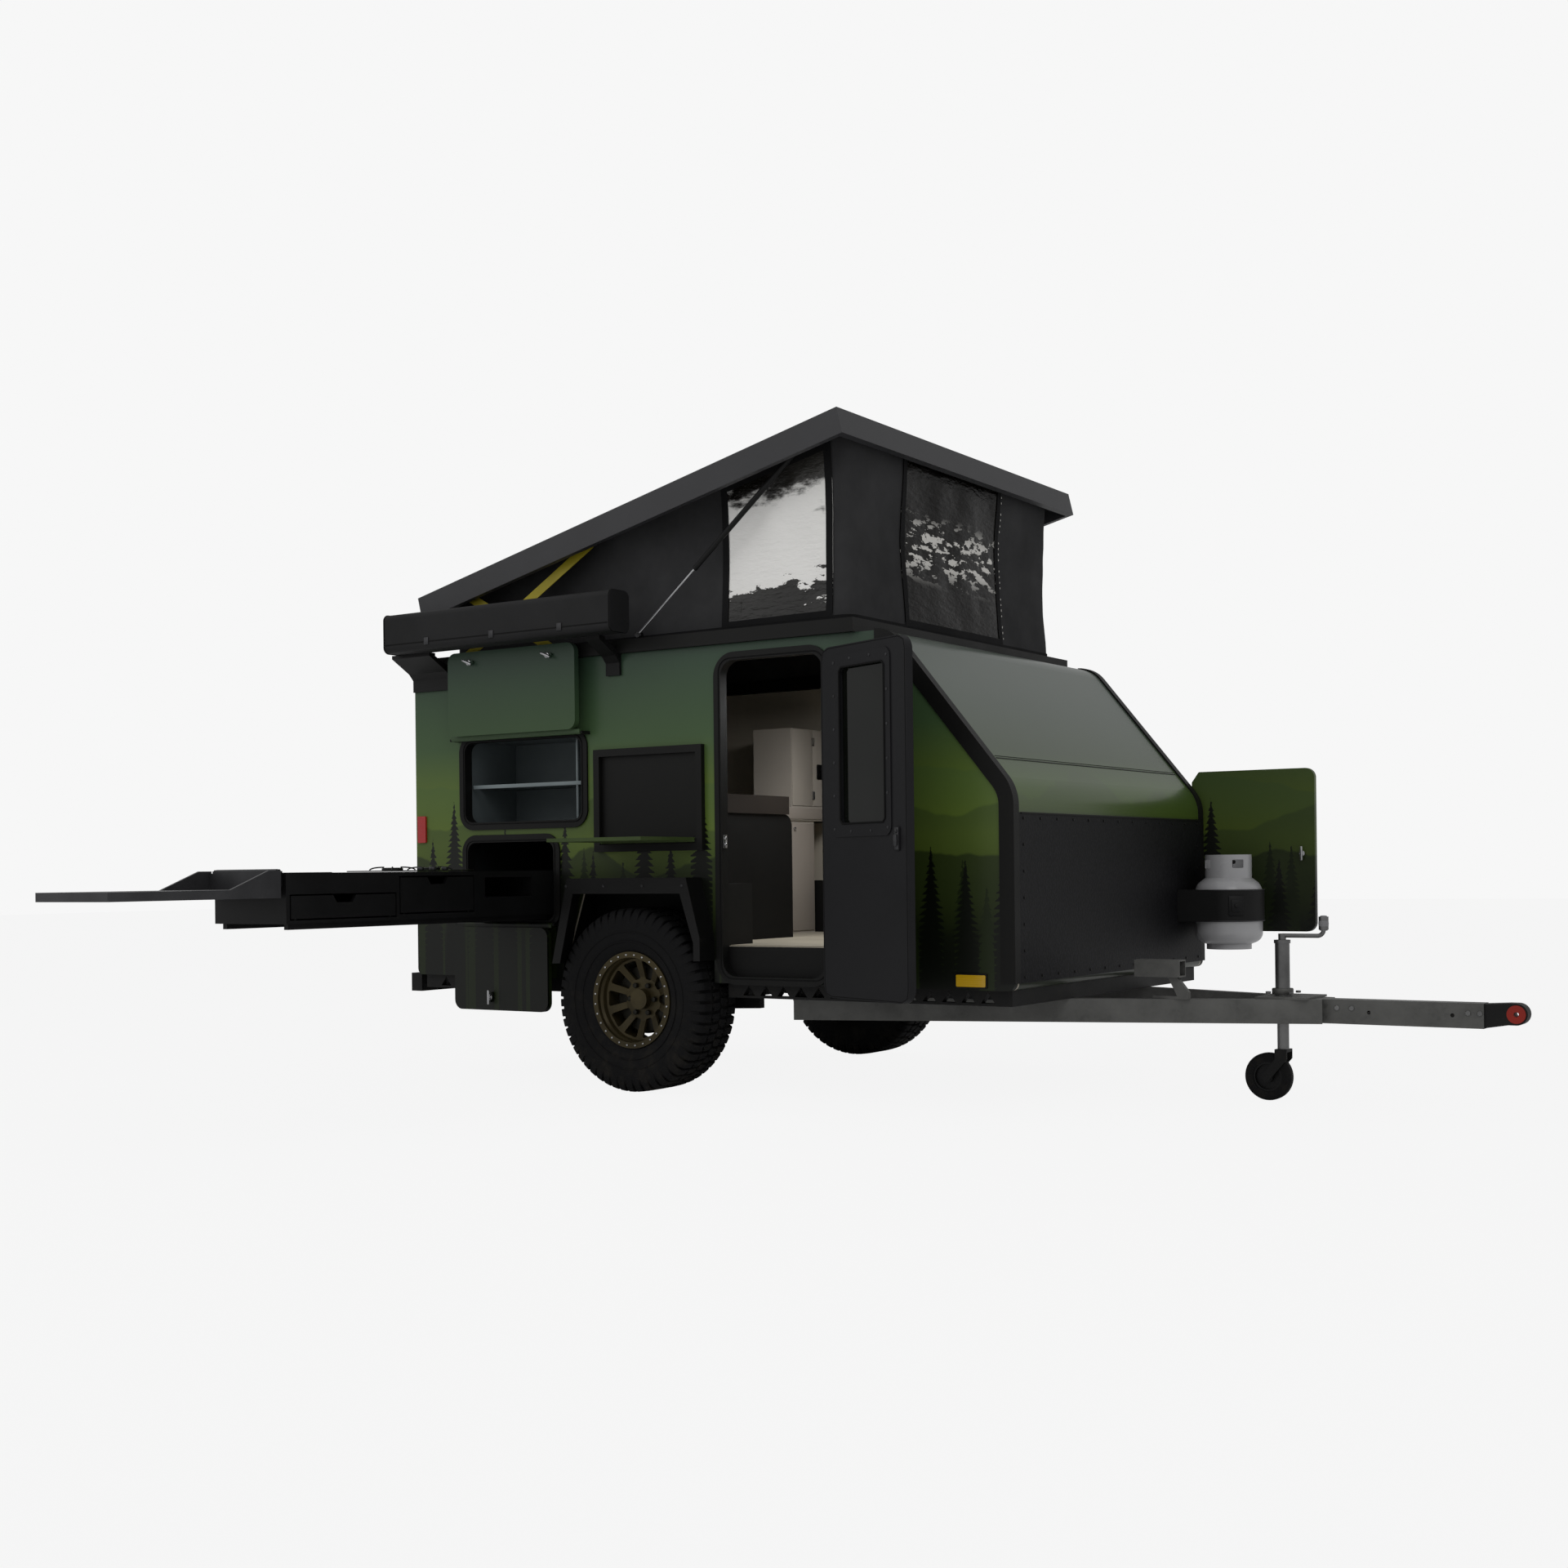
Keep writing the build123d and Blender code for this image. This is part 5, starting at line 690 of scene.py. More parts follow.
def rodAlong(points, radius, smooth=True):
    # a round rod or bead that follows points
    drawn = bpy.data.curves.new("rod", "CURVE")
    drawn.dimensions = "3D"
    drawn.bevel_depth = radius
    drawn.bevel_resolution = 3
    drawn.use_fill_caps = True
    spline = drawn.splines.new("NURBS" if smooth else "POLY")
    spline.points.add(len(points) - 1)
    for knot, point in zip(spline.points, points):
        knot.co = (*point, 1)
    if smooth:
        spline.order_u = 3
        spline.use_endpoint_u = True
        spline.resolution_u = 6
    piece = bpy.data.objects.new("rod", drawn)
    bpy.context.collection.objects.link(piece)
    take(piece)
    bpy.ops.object.convert(target="MESH")
    return squared(bpy.context.object)


def lathed(x, y, profile, steps, closed=True):
    # turned about an upright line at x, y; the profile is radius and height in millimetres
    points = [at(x, y + radius, height) for radius, height in profile]
    return turnedShape(points, at(x, y, 0), (0, 0, 1), steps, closed)


def roundedLoop(low, high, foot, head, corner, spot):
    # a rounded rectangle, closed; spot makes a point from its two measures
    points = []
    for middle, level, first in ((high - corner, foot + corner, 270), (high - corner, head - corner, 0),
                                 (low + corner, head - corner, 90), (low + corner, foot + corner, 180)):
        for number in range(6):
            angle = math.radians(first + 18 * number)
            points.append(spot(middle + corner * math.cos(angle), level + corner * math.sin(angle)))
    return points + [points[0]]


# The raised canvas and its clear windows

canvas = {
    "halfWidth": 0.966, "rear": -1.158, "front": 1.116, "corner": 0.055,   # metres ahead of the axle
    "foot": 2.048, "lidFoot": 2.221, "lidRear": -1.220, "lidTilt": 13.5, "lidUnder": 0.0715,
    "rows": 30, "step": 0.034, "keep": 0.085, "sag": 0.016, "sagOver": 0.8,
}


def roofUnder(ahead):
    tilt = math.radians(canvas["lidTilt"])
    return canvas["lidFoot"] + canvas["lidUnder"] / math.cos(tilt) + (ahead - canvas["lidRear"]) * math.tan(tilt)


def canvasLoop():
    # the canvas's line in plan from the middle of the rear, with what is outward at each point
    rear, front, half, corner = canvas["rear"], canvas["front"], canvas["halfWidth"], canvas["corner"]
    marks = []

    def straight(start, end, out):
        count = max(2, round((Vector(end) - Vector(start)).length / canvas["step"]))
        for number in range(count):
            marks.append((Vector(start).lerp(Vector(end), number / count), Vector(out)))

    def bend(middle, first):
        for number in range(6):
            angle = math.radians(first + 90 * number / 6)
            out = Vector((math.cos(angle), math.sin(angle)))
            marks.append((Vector(middle) + out * corner, out))

    straight((rear, 0), (rear, -half + corner), (-1, 0))
    bend((rear + corner, -half + corner), 180)
    straight((rear + corner, -half), (front - corner, -half), (0, -1))
    bend((front - corner, -half + corner), 270)
    straight((front, -half + corner), (front, half - corner), (1, 0))
    bend((front - corner, half - corner), 0)
    straight((front - corner, half), (rear + corner, half), (0, 1))
    bend((rear + corner, half - corner), 90)
    straight((rear, half - corner), (rear, 0), (-1, 0))
    return marks


def canvasPoint(mark, out, share):
    # a point of the cloth: share runs from its foot at 0 to the lid at 1
    top = roofUnder(mark.x) - 0.003
    height = canvas["foot"] + (top - canvas["foot"]) * share
    belly = math.sin(math.pi * min(1.0, share))
    free = min(1.0, share * 9) * min(1.0, (1 - share) * 14)
    slow = noise.noise(Vector((mark.x * 2.1, mark.y * 2.1 + 7, height * 1.1)))
    crease = noise.noise(Vector((mark.x * 6.5 + height * 2.4, mark.y * 6.5, height * 1.7 + 3)))
    fine = noise.noise(Vector((mark.x * 17, mark.y * 17 + height * 9, height * 5)))
    sag = canvas["sag"] * belly * (top - canvas["foot"]) / canvas["sagOver"]
    pull = free * (0.011 * slow + 0.009 * crease + 0.0025 * fine) - sag
    spot = mark + out * pull
    return Vector((spot.x - axleToEye, spot.y, height - eyeHeight))


def clothOf(marks, low, high, rows, closed, lift=0.0):
    # a sheet that follows the canvas between two shares of its height, a lift outside it
    loop = [canvasPoint(mark + out * lift, out, low) for mark, out in marks]
    piece = line(loop + ([loop[0]] if closed else []))
    take(piece)
    bpy.ops.object.mode_set(mode="EDIT")
    bpy.ops.mesh.select_all(action="SELECT")
    for number in range(rows):
        bpy.ops.mesh.extrude_region_move(TRANSFORM_OT_translate={"value": (0, 0, 0.01)})
    bpy.ops.object.mode_set(mode="OBJECT")
    count = len(loop) + (1 if closed else 0)
    wrapped = list(marks) + ([marks[0]] if closed else [])
    for vertex in piece.data.vertices:
        row, column = divmod(vertex.index, count)
        mark, out = wrapped[column]
        vertex.co = canvasPoint(mark + out * lift, out, low + (high - low) * row / rows)
    return squared(piece)


loopMarks = canvasLoop()
canvasPiece = finishPiece(clothOf(loopMarks, 0.0, 1.0, canvas["rows"], True), "canvas_cloth", "trailer",
                          "canvasCloth", 60, ["canvas"])


def areaOf(piece):
    return sum(face.area for face in piece.data.polygons)


def hangsAs(piece, width, tall):
    area = areaOf(piece)
    tall = max(tall, 1.01 * area / width)
    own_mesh(piece)


def between(low, high, along, fixed):
    # the loop's marks on one side of the canvas between two places
    axis, way = fixed
    side = [(mark, out) for mark, out in loopMarks if abs(out[axis] - way) < 0.01]
    return [(mark, out) for mark, out in side if low <= mark[along] <= high]


windows = {
    "film_right": (between(0.42, 1.03, 0, (1, -1)), 0.045, 0.955, "sideFilmPaintedSky"),
    "film_front": (between(-0.51, 0.47, 1, (0, 1)), 0.045, 0.955, "frontFilmPaintedGlint"),
    "film_left": (between(0.42, 1.03, 0, (1, 1)), 0.045, 0.955, "sideFilmPaintedSky"),
}
films = []
for name, (marks, low, high, finish) in windows.items():
    film = finishPiece(clothOf(marks, low, high, 24, False, 0.003), name, "trailer", finish, 60)
    films.append((film, marks, high - low))
hems = []
for name, (marks, low, high, finish) in windows.items():
    for label, some, foot, head in (
            ("foot", marks, low - 0.022, low + 0.016), ("head", marks, high - 0.016, high + 0.02),
            ("near", marks[:2], low, high), ("far", marks[-2:], low, high)):
        rows = 2 if label in ("foot", "head") else 24
        cloth = clothOf(some, foot, head, rows, False, 0.006)
        hem = finishPiece(cloth, name + "_hem_" + label, "trailer", "canvasHem", 60)
        hems.append((hem, some, head - foot))
foot = clothOf(loopMarks, 0.0, 0.030, 2, True, 0.005)
finishPiece(foot, "canvas_foot_band", "trailer", "canvasHem", 60)

loopLength = sum((one[0] - two[0]).length for one, two in zip(loopMarks, loopMarks[1:] + loopMarks[:1]))
hangsAs(canvasPiece, loopLength * 1.02, 0.86)
hangsAs(foot, loopLength * 1.02, 0.03)
for piece, marks, share in films + hems:
    widest = (marks[0][0] - marks[-1][0]).length * 1.05
    tallest = max(roofUnder(mark.x) - canvas["foot"] for mark, out in marks) * share * 1.06
    hangsAs(piece, widest, tallest)

# the zip's pale stitches up the front window's far edge
stitch = {"count": 26, "long": 0.011, "wide": 0.0045, "thick": 0.0012, "lift": 0.0105}
zipMark, zipOut = windows["film_front"][0][-1]
stitches = []
for number in range(stitch["count"]):
    share = 0.06 + 0.88 * number / stitch["count"]
    if number % 5 == 3:
        continue
    spot = canvasPoint(zipMark + zipOut * stitch["lift"], zipOut, share)
    tall = stitch["long"] * (0.7 + 0.6 * abs(noise.noise(Vector((number * 0.7, 0, 0)))))
    half = stitch["wide"] / 2
    near, far = spot - Vector((0, half, 0)), spot + Vector((stitch["thick"], half, tall))
    stitches.append(block(near, far, 0.0004, 1))
zipper = finishPiece(joined(stitches), "canvas_zip", "trailer", "zipWhite", 30)
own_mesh(zipper)
print("canvas hung:", round(areaOf(canvasPiece), 2), "square metres")


# Wheels

tyreShape = {
    # width out from the middle and radius, in metres, as shares of the tyre's own size
    "carcass": ((0.78, 0.530), (0.81, 0.548), (0.90, 0.590), (0.965, 0.680), (0.992, 0.765), (0.985, 0.845),
                (0.945, 0.900), (0.87, 0.938), (0.70, 0.958), (0.35, 0.966), (0.0, 0.968)),
    "shoulder": ((0.44, 0.958), (0.44, 0.9985), (0.80, 0.994), (0.905, 0.965), (0.968, 0.905), (0.995, 0.845),
                 (0.975, 0.832), (0.925, 0.885), (0.80, 0.940)),
    "shoulderLong": ((0.44, 0.958), (0.44, 0.9985), (0.80, 0.994), (0.905, 0.965), (0.968, 0.905),
                     (0.998, 0.800), (0.975, 0.788), (0.925, 0.885), (0.80, 0.940)),
    "centre": ((0.04, -0.5), (0.36, -0.36), (0.40, 0.02), (0.30, 0.10), (0.34, 0.46), (0.06, 0.34), (0.02, 0.0)),
    "ring": ((-0.03, -0.008), (0.012, -0.005), (0.012, 0.005), (-0.03, 0.008)),   # section of a sidewall's ring
    "rings": ((0.955, 0.640), (0.992, 0.745)),
    "pitches": 27, "lugWide": 0.034, "centreWide": 0.056, "steps": 108,
}
hubShape = {
    "boltCircle": 0.2045, "bolts": 28, "nutCircle": 0.0700, "nuts": 6, "nutOut": 0.035,
    "drum": ((-0.050, 0.092), (-0.050, 0.150), (-0.042, 0.158), (0.004, 0.158), (0.012, 0.150), (0.012, 0.092)),
}


def makeTyre(name, body):
    low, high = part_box(name)
    middle = (Vector(low) + Vector(high)) / 2
    radius = (high[2] - low[2]) / 2
    half = (high[1] - low[1]) / 2
    outward = -1 if middle.y < 0 else 1
    beads = Vector(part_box("rim_" + name.split("_")[1])[1]) - Vector(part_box("rim_" + name.split("_")[1])[0])

    def spot(wide, tall, sideways=0.0):
        return middle + Vector((sideways, wide * half * outward, tall * radius))

    def roundTyre(shape, share):
        # a lug moved on by a share of the pitch and set all the way round
        take(shape)
        turned = Matrix.Rotation(2 * math.pi / tyreShape["pitches"] * share, 4, "Y")
        shape.matrix_world = Matrix.Translation(middle) @ turned @ Matrix.Translation(-middle)
        return repeated(settle(shape), middle, (0, 1, 0), tyreShape["pitches"])

    def circlePlaces(count, first, radius, out):
        places = []
        for number in range(count):
            angle = 2 * math.pi * (number + first) / count
            offset = Vector((math.cos(angle) * radius, outward * out, math.sin(angle) * radius))
            places.append((middle + offset, (0, outward, 0)))
        return places

    outer = [spot(w, r) for w, r in tyreShape["carcass"]]
    inner = [spot(-w, r) for w, r in reversed(tyreShape["carcass"][:-1])]
    pieces = [turnedShape(outer + inner, middle, (0, 1, 0), tyreShape["steps"])]
    lug, wide = tyreShape["lugWide"], tyreShape["centreWide"]
    for flip in (1, -1):
        for number, outline in enumerate((tyreShape["shoulder"], tyreShape["shoulderLong"])):
            shape = plate([spot(flip * w, r, -lug / 2) for w, r in outline], (lug, 0, 0), 0.0022, 1)
            pieces.append(roundTyre(shape, 0.5 * number + (0.25 if flip < 0 else 0)))
        for number in (0, 1):
            outline = [spot(flip * w, 0.955, s * wide * 0.72) for w, s in tyreShape["centre"]]
            shape = plate(outline, (0, 0, radius * 0.0430), 0.0018, 1)
            pieces.append(roundTyre(shape, 0.5 * number + (0.30 if flip < 0 else 0)))
    for wide, tall in tyreShape["rings"]:
        ring = [spot(wide + dw, tall + dr) for dw, dr in tyreShape["ring"]]
        pieces.append(turnedShape(ring, middle, (0, 1, 0), tyreShape["steps"]))
    tyrePiece = finishPiece(joined(pieces), name + "_dressed", body, "tyreRubber", 34, [name])

    ringBolt = disc((0, 0, 0), (0, 0, 1), 0.0048, 0.006, 8, 0.001, 1)
    places = circlePlaces(hubShape["bolts"], 0.5, hubShape["boltCircle"], beads.y / 2 + 0.001)
    finishPiece(copiesAt(ringBolt, places), "ring_bolts_" + body, body, "steelBright", 30)
    nut = disc((0, 0, 0), (0, 0, 1), 0.0125, 0.022, 6, 0.002, 2)
    places = circlePlaces(hubShape["nuts"], 0, hubShape["nutCircle"], hubShape["nutOut"])
    finishPiece(copiesAt(nut, places), "wheel_nuts_" + body, body, "rimDark", 30)
    drumProfile = [middle + Vector((0, outward * a, r)) for a, r in hubShape["drum"]]
    finishPiece(turnedShape(drumProfile, middle, (0, 1, 0), 64), "drum_" + body, body, "rimDark", 34)


makeTyre("tyre_right", "right_wheel")
makeTyre("tyre_left", "left_wheel")
print("wheels made")


# The entry door's fittings

door = {
    "pin": (1052, -1066), "way": (0.9205, -0.3907), "face": 35.0, "ringFace": 40.0,
    "ring": (296, 1501, 410, 751), "screwInset": 22, "latch": (538, 1112), "panel": (14, 600, 460, 1915),
    "glass": (308, 1501),
    # outlines from the middle of the glass, and from the middle of the latch, along and up
    "glassLine": ((-140, -321), (140, -321), (154.5, -306), (154.5, 306), (140, 321), (-140, 321), (-154.5, 306),
                  (-154.5, -306), (-140, -321)),
    "latchPlate": ((-14, -44), (14, -44), (14, 44), (-14, 44)),
    "latchPaddle": ((-9, -30), (9, -30), (11, -8), (9, 16), (-9, 16), (-11, -8)),
}


def onDoor(along, height, out):
    wayX, wayY = door["way"]
    return at(door["pin"][0] + wayX * along + wayY * out, door["pin"][1] + wayY * along - wayX * out, height)


doorOut = (onDoor(0, 0, 1) - onDoor(0, 0, 0)).normalized()
ringX, ringZ, ringWide, ringTall = door["ring"]
inset = door["screwInset"]
places = []
for number in range(6):
    height = ringZ - ringTall / 2 + inset + 10 + (ringTall - 2 * inset - 20) * number / 5
    for along in (ringX - ringWide / 2 + inset, ringX + ringWide / 2 - inset):
        places.append((onDoor(along, height, door["ringFace"] + 0.8), doorOut))
for number in (1, 2):
    for height in (ringZ - ringTall / 2 + inset, ringZ + ringTall / 2 - inset):
        along = ringX - ringWide / 2 + ringWide * number / 3
        places.append((onDoor(along, height, door["ringFace"] + 0.8), doorOut))
screw = disc((0, 0, 0), (0, 0, 1), 0.0062, 0.0030, 14, 0.0012, 2)
finishPiece(copiesAt(screw, places), "door_ring_screws", "door", "screwDark", 30)

glassX, glassZ = door["glass"]
glassBead = [onDoor(glassX + a, glassZ + h, door["ringFace"] + 0.5) for a, h in door["glassLine"]]
finishPiece(rodAlong(glassBead, 0.0045, False), "door_glass_bead", "door", "sealRubber", 40)

latchAlong, latchHeight = door["latch"]
latchBase = [onDoor(latchAlong + a, latchHeight + h, door["ringFace"] + 0.4) for a, h in door["latchPlate"]]
latchBase = plate(latchBase, doorOut * 0.004, 0.0014, 2)
latchPaddle = [onDoor(latchAlong + a, latchHeight + h, door["ringFace"] + 4) for a, h in door["latchPaddle"]]
latchPaddle = plate(latchPaddle, doorOut * 0.009, 0.0025, 3)
latchKey = disc(onDoor(latchAlong, latchHeight + 30, 46), doorOut, 0.0085, 0.006, 20, 0.0012, 2)
finishPiece(joined([latchBase, latchPaddle, latchKey]), "door_latch", "door", "screwDark", 30)
edgeA, edgeB, edgeLow, edgeHigh = door["panel"]
rim = []
for along, height in (
        (edgeA + 50, edgeLow + 6), (edgeB - 50, edgeLow + 6), (edgeB - 14, edgeLow + 20),
        (edgeB - 6, edgeLow + 56), (edgeB - 6, edgeHigh - 56),
        (edgeB - 14, edgeHigh - 20), (edgeB - 50, edgeHigh - 6),
        (edgeA + 56, edgeHigh - 6), (edgeA + 18, edgeHigh - 18), (edgeA + 6, edgeHigh - 56),
        (edgeA + 6, edgeLow + 56), (edgeA + 18, edgeLow + 18), (edgeA + 50, edgeLow + 6)):
    rim.append(onDoor(along, height, door["face"] - 0.3))
finishPiece(rodAlong(rim, 0.0018, False), "door_edge_bead", "door", "sealRubber", 40)

jamb = {"low": (476.8, -1013, 1092), "high": (480, -986, 1150), "pinX": 482, "pinY": -1000}
keeper = block(at(*jamb["low"]), at(*jamb["high"]), 0.0012, 2)
keeperPin = disc(at(jamb["pinX"], jamb["pinY"], 1108), (1, 0, 0), 0.006, 0.006, 16, 0.001, 1)
keeperEye = disc(at(jamb["pinX"], jamb["pinY"], 1134), (1, 0, 0), 0.008, 0.006, 16, 0.001, 1)
finishPiece(joined([keeper, keeperPin, keeperEye]), "door_keeper", "trailer", "steelBright", 30)
print("door dressed")


# Hatches

def handleAt(name, body, x, z, face, out, tall=False):
    # a steel T handle on its plate; out is +1 or -1 along the side
    armHalf = 34 if tall else 30
    base = disc(at(x, face + out * 1.6, z), (0, 1, 0), 0.0135, 0.004, 24, 0.0012, 2)
    stem = disc(at(x, face + out * 6, z), (0, 1, 0), 0.0065, 0.010, 16, 0.001, 1)
    bar = block(at(-armHalf, -4, -6), at(armHalf, 4, 6), 0.0035, 3)
    take(bar)
    home = at(0, 0, 0)
    lean = Matrix.Rotation(math.radians(90 if tall else 24), 4, "Y")
    bar.matrix_world = Matrix.Translation(at(x, face + out * 13, z)) @ lean @ Matrix.Translation(-home)
    return finishPiece(joined([base, stem, settle(bar)]), name, body, "steelBright", 32)


# piece, body, along, over the road, face on the side, way out, upright
handles = (
    ("pantry_handle_rear", "pantry_door", -930, 1998, -1113, -1, False),
    ("pantry_handle_front", "pantry_door", -440, 1998, -1113, -1, False),
    ("galley_handle", "galley_door", -815, 408, -1113, -1, True),
    ("locker_handle", "locker_door", 2372, 1044, 1058, -1, True),
)
for handle in handles:
    handleAt(*handle)


# piece, body, from and to along, from and to over the road, place on the side, corner
sealLines = (
    ("pantry_seal", "trailer", -1052, -310, 1230, 1630, -1025.9, 48),
    ("galley_seal", "trailer", -1038, -482, 761, 1149, -1025.9, 42),
    ("door_seal", "trailer", 468, 1016, 521, 1921, -1025.9, 58),
    ("pantry_hatch_seal", "pantry_door", -1060, -302, 1668, 2030, -1067.8, 44),
)
for name, body, lowX, highX, lowZ, highZ, y, corner in sealLines:
    loop = roundedLoop(lowX, highX, lowZ, highZ, corner, lambda x, z: at(x, y, z))
    finishPiece(rodAlong(loop, 0.0026, False), name, body, "sealRubber", 40)

# the pantry's shelf lip and divider
pantry = {"lip": ((-1040, -972, 1402), (-322, -966, 1420)), "divider": ((-392, -970, 1236), (-384, -966, 1612))}
shelfLip = block(at(*pantry["lip"][0]), at(*pantry["lip"][1]), 0.002, 2)
divider = block(at(*pantry["divider"][0]), at(*pantry["divider"][1]), 0.0015, 2)
finishPiece(joined([shelfLip, divider]), "pantry_edges", "trailer", "shelfEdge", 30)
print("hatches dressed")


# Cabin fittings that show through the doorway

cabin = {
    # boards: from and to across, from and to over the road
    "lower": ((332, 520, 672, 960), (332, 520, 968, 1240), (526, 738, 672, 1240)), "lowerFace": (-179, -175),
    "upper": ((566, 760, 1335, 1738), (766, 968, 1335, 1738)), "upperFace": (-199, -195),
    "edge": ((-169, 322, 1262), (-164, 970, 1322)),
    "hinges": (1392, 1680), "hingeY": (752, 774), "hingeHalf": 22, "hingeFace": (-194, -188),
    "knobs": ((500, 930), (500, 1210), (545, 1210)), "knobX": -171,   # across and over the road
    "mat": ((200, -930, 660.5), (1060, 930, 664)),
    "flap": ((-1318, -926, 2045), (-1160, 926, 2047.6)),
}


def boardsAt(rows, face):
    near, far = face
    return [block(at(near, lowY, lowZ), at(far, highY, highZ), 0.0015, 2) for lowY, highY, lowZ, highZ in rows]


finishPiece(joined(boardsAt(cabin["lower"], cabin["lowerFace"])), "cabinet_fronts", "trailer", "beigeBoard", 30)
finishPiece(joined(boardsAt(cabin["upper"], cabin["upperFace"])), "upper_fronts", "trailer", "paleBoard", 30)
low, high = cabin["edge"]
finishPiece(block(at(*low), at(*high), 0.002, 2), "cabinet_edge", "trailer", "beigeBoard", 30)
hinges = []
for z in cabin["hinges"]:
    low = at(cabin["hingeFace"][0], cabin["hingeY"][0], z - cabin["hingeHalf"])
    high = at(cabin["hingeFace"][1], cabin["hingeY"][1], z + cabin["hingeHalf"])
    hinges.append(block(low, high, 0.002, 2))
finishPiece(joined(hinges), "cabinet_hinges", "trailer", "steelBright", 30)
switchPlate = block(at(-194, 800, 1480), at(-187, 862, 1560), 0.004, 3)
switchKnob = disc(at(-183, 831, 1532), (1, 0, 0), 0.012, 0.009, 24, 0.002, 2)
switchKey = block(at(-187, 814, 1492), at(-183, 848, 1510), 0.0015, 2)
finishPiece(joined([switchPlate, switchKnob, switchKey]), "cabin_switches", "trailer", "cabinetBlack", 30)
pulls = []
for y, z in cabin["knobs"]:
    pulls.append(disc(at(cabin["knobX"], y, z), (1, 0, 0), 0.009, 0.010, 20, 0.002, 2))
finishPiece(joined(pulls), "cabinet_knobs", "trailer", "steelBright", 30)
low, high = cabin["mat"]
finishPiece(block(at(*low), at(*high), 0.001, 1), "cabin_mat", "trailer", "floorTan", 30)
# a flap from the rear rail to the canvas, so the box is shut behind it
low, high = cabin["flap"]
finishPiece(block(at(*low), at(*high), 0.0006, 1), "rear_flap", "trailer", "canvasHem", 30)
print("cabin dressed")


# Slope, guard and lamps

slope = {"foot": (1890, 1305.7), "head": (1350, 1965.5), "seam": 165, "half": 945}
footX, footZ = slope["foot"]
headX, headZ = slope["head"]
rise = Vector((headX - footX, 0, headZ - footZ)).normalized()
slopeOut = Vector((rise.z, 0, -rise.x))


def onSlope(up, y, out):
    return at(footX + rise.x * up + slopeOut.x * out, y, footZ + rise.z * up + slopeOut.z * out)


seam = []
for up, wide in ((slope["seam"], 5), (slope["seam"] + 13, 2)):
    strip = [onSlope(up, -slope["half"], 0), onSlope(up, slope["half"], 0),
             onSlope(up + wide, slope["half"], 0), onSlope(up + wide, -slope["half"], 0)]
    seam.append(plate(strip, slopeOut * 0.0018, 0.0004, 1))
finishPiece(joined(seam), "slope_seam", "trailer", "trimBlack", 30)
guard = {"edge": ((1896, -960, 1206), (1901, 960, 1214)), "rivetX": 1899.4, "half": 936, "low": 552, "high": 1190,
         "across": 13, "up": 6}
low, high = guard["edge"]
finishPiece(block(at(*low), at(*high), 0.0015, 2), "guard_edge", "trailer", "trimBlack", 30)
rivet = disc((0, 0, 0), (0, 0, 1), 0.0062, 0.004, 12, 0.0015, 2)
places = []
for number in range(guard["across"]):
    y = -guard["half"] + 2 * guard["half"] * number / (guard["across"] - 1)
    places.append((at(guard["rivetX"], y, guard["high"]), (1, 0, 0)))
    places.append((at(guard["rivetX"], y, guard["low"]), (1, 0, 0)))
for number in range(1, guard["up"]):
    z = guard["low"] + (guard["high"] - guard["low"]) * number / guard["up"]
    for y in (-guard["half"], guard["half"]):
        places.append((at(guard["rivetX"], y, z), (1, 0, 0)))
finishPiece(copiesAt(rivet, places), "guard_rivets", "trailer", "trimBlack", 30)

flare = {"bolts": (-330, -110, 110, 330), "face": 1126.2, "z": 930}
flareBolt = disc((0, 0, 0), (0, 0, 1), 0.0065, 0.004, 10, 0.0013, 1)
places = []
for side in (-1, 1):
    for x in flare["bolts"]:
        places.append((at(x, side * flare["face"], flare["z"]), (0, side, 0)))
finishPiece(copiesAt(flareBolt, places), "flare_bolts", "trailer", "screwDark", 30)

reflector = {"x": 1698, "z": 538, "halfWide": 72, "halfTall": 30, "face": (1016, 1021)}
lampFrames = []
for side in (-1, 1):
    near, far = reflector["face"]
    low = at(reflector["x"] - reflector["halfWide"], side * near, reflector["z"] - reflector["halfTall"])
    high = at(reflector["x"] + reflector["halfWide"], side * far, reflector["z"] + reflector["halfTall"])
    lampFrames.append(block(low, high, 0.002, 2))
finishPiece(joined(lampFrames), "reflector_frames", "trailer", "trimBlack", 30)
print("body dressed")


# Gas bottle, jack and drawbar

bottle = {
    "x": 2088, "y": 842, "band": (728, 878), "strapTurn": -58, "strapMiddle": 803,
    # profiles: radius and height over the road
    "valve": ((0.1, 926), (24, 926), (24, 940), (14, 946), (14, 985), (9, 988), (9, 998), (0.1, 998)),
    "wheel": ((0.1, 998), (30, 998), (34, 1002), (34, 1012), (30, 1016), (0.1, 1016)),
}


def aroundBottle(radius, angle, z):
    turned = math.radians(angle)
    return at(bottle["x"] + radius * math.cos(turned), bottle["y"] + radius * math.sin(turned), z)


valve = lathed(bottle["x"], bottle["y"], bottle["valve"], 32, False)
valveWheel = lathed(bottle["x"], bottle["y"], bottle["wheel"], 32, False)
outlet = disc(at(bottle["x"], bottle["y"] - 26, 964), (0, 1, 0), 0.011, 0.030, 20, 0.0015, 2)
finishPiece(joined([valve, outlet]), "bottle_valve", "trailer", "brassBody", 34)
finishPiece(valveWheel, "bottle_valve_wheel", "trailer", "screwDark", 34)
weld = [aroundBottle(157.0, 10 * number, 786) for number in range(37)]
finishPiece(rodAlong(weld, 0.0022, False), "bottle_weld", "trailer", "bottleWhite", 40)

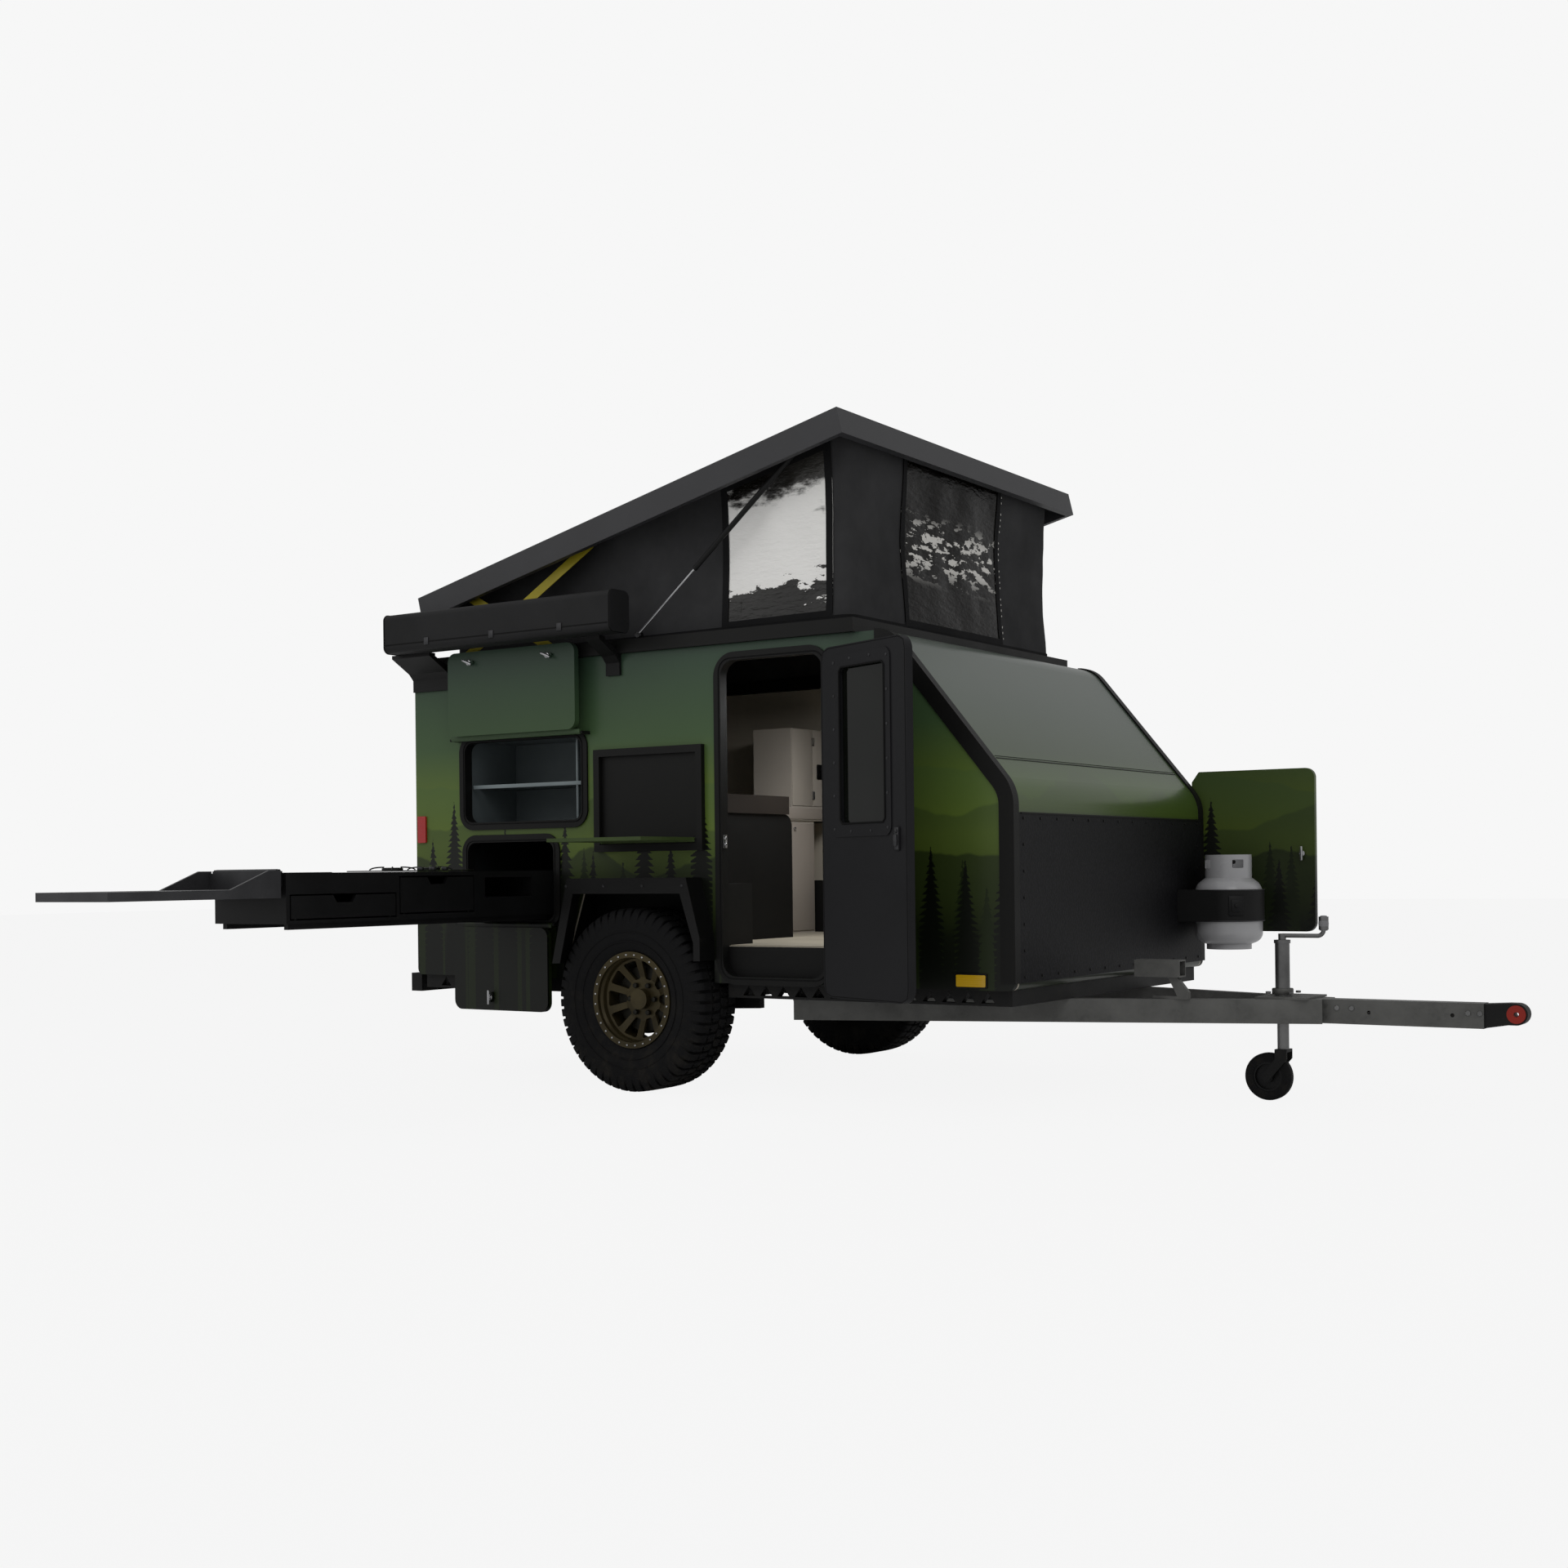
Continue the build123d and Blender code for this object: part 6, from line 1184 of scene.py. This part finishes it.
buckle = []
facingAngle, strapZ = bottle["strapTurn"], bottle["strapMiddle"]
for radius, wide, tall, deep in ((168, 34, 92, 5), (172, 24, 58, 8)):
    middle = aroundBottle(radius, facingAngle, strapZ)
    body = block((-wide / 1000, -deep / 2000, -tall / 2000), (wide / 1000, deep / 2000, tall / 2000), 0.002, 2)
    take(body)
    body.matrix_world = Matrix.Translation(middle) @ Matrix.Rotation(math.radians(facingAngle + 90), 4, "Z")
    buckle.append(settle(body))
strapOut = aroundBottle(1, facingAngle, 0) - aroundBottle(0, facingAngle, 0)
buckle.append(disc(aroundBottle(178, facingAngle, strapZ), strapOut, 0.010, 0.010, 20, 0.002, 2))
finishPiece(joined(buckle), "bottle_buckle", "trailer", "kitchenBlack", 30)
strapEdges = []
for z in (bottle["band"][0] + 3, bottle["band"][1] - 3):
    strapEdges.append(rodAlong([aroundBottle(164.2, 10 * number, z) for number in range(37)], 0.0028, False))
finishPiece(joined(strapEdges), "bottle_band_edges", "trailer", "screwDark", 40)

jack = {
    "x": 2630, "reach": 176,
    "collar": ((30.6, 448), (42, 448), (44, 451), (44, 470), (42, 473), (30.6, 473)),
    "knob": ((0.1, 716), (15, 716), (19, 722), (21, 745), (19, 770), (12, 778), (0.1, 779)),
}
clampRing = lathed(jack["x"], 0, jack["collar"], 40)
finishPiece(clampRing, "jack_collar", "trailer", "zincDip", 34)
knob = lathed(jack["x"] + jack["reach"], 0, jack["knob"], 32, False)
finishPiece(knob, "jack_knob", "trailer", "knobGrey", 40)

hexBolt = disc((0, 0, 0), (0, 0, 1), 0.0115, 0.009, 6, 0.0015, 1)
places = []
drawbarBolts = {"side": ((2870, 2930, 400), (3390, 3435, 395)), "half": 41.5, "topX": (2585, 2680), "topY": 50,
                "topZ": 457}
for first, second, height in drawbarBolts["side"]:
    for side in (-1, 1):
        for x in (first, second):
            places.append((at(x, side * drawbarBolts["half"], height), (0, side, 0)))
for x in drawbarBolts["topX"]:
    for y in (-drawbarBolts["topY"], drawbarBolts["topY"]):
        places.append((at(x, y, drawbarBolts["topZ"]), (0, 0, 1)))
finishPiece(copiesAt(hexBolt, places), "drawbar_bolts", "trailer", "zincPlate", 30)
print("drawbar dressed")


# Kitchen and awning

kitchen = {
    "top": 1006, "hobX": (-880, -560), "hobY": (-1950, -1480), "hobThick": 5,
    "burnerX": -720, "burners": (-1600, -1830), "knobX": -590, "knobs": (-1640, -1715, -1790),
    "ring": ((30, 5), (30, 14), (38, 17), (46, 14), (46, 5)),   # a burner's radius and height
}
hobLow = at(kitchen["hobX"][0], kitchen["hobY"][0], kitchen["top"])
hobHigh = at(kitchen["hobX"][1], kitchen["hobY"][1], kitchen["top"] + kitchen["hobThick"])
hob = block(hobLow, hobHigh, 0.003, 2)
finishPiece(hob, "hob_plate", "kitchen", "darkGlass", 30)
burners = []
burnerX, top = kitchen["burnerX"], kitchen["top"]
for y in kitchen["burners"]:
    ring = [at(burnerX + radius, y, top + z) for radius, z in kitchen["ring"]]
    burners.append(turnedShape(ring, at(burnerX, y, 0), (0, 0, 1), 40))
    over, under = at(burnerX, y, top + 19), at(burnerX, y, top + 6)
    for number in range(4):
        angle = math.radians(45 + 90 * number)
        out = Vector((math.cos(angle), math.sin(angle), 0))
        burners.append(rodAlong([over + out * 0.035, over + out * 0.092, under + out * 0.098], 0.0032, True))
finishPiece(joined(burners), "hob_burners", "kitchen", "kitchenBlack", 34)
hobKnobs = []
for y in kitchen["knobs"]:
    hobKnobs.append(disc(at(kitchen["knobX"], y, top + 11), (0, 0, 1), 0.015, 0.014, 24, 0.003, 2))
finishPiece(joined(hobKnobs), "hob_knobs", "kitchen", "screwDark", 30)

bag = {"rear": -1335, "front": 60, "outer": -1269, "inner": -1131, "foot": 2056, "head": 2240, "round": 28,
       "zip": (2090, 2096), "clasps": (-1050, -640, -230), "claspZ": (2078, 2112)}
zipLow = at(bag["rear"] + 12, bag["outer"] - 1.6, bag["zip"][0])
zipHigh = at(bag["front"] - 12, bag["outer"] + 0.5, bag["zip"][1])
zipLine = block(zipLow, zipHigh, 0.0008, 1)
finishPiece(zipLine, "awning_zip", "trailer", "sealRubber", 30)
welts = []
for x in (bag["rear"] + 5, bag["front"] - 5):
    loop = roundedLoop(bag["outer"], bag["inner"], bag["foot"], bag["head"], bag["round"],
                       lambda y, z: at(x, y, z))
    welts.append(rodAlong(loop, 0.0030, False))
finishPiece(joined(welts), "awning_welts", "trailer", "sealRubber", 40)
clasps = []
for x in bag["clasps"]:
    low, high = at(x - 14, bag["outer"] - 4, bag["claspZ"][0]), at(x + 14, bag["outer"], bag["claspZ"][1])
    clasps.append(block(low, high, 0.0018, 2))
finishPiece(joined(clasps), "awning_clasps", "trailer", "screwDark", 30)
print("kitchen and awning dressed")
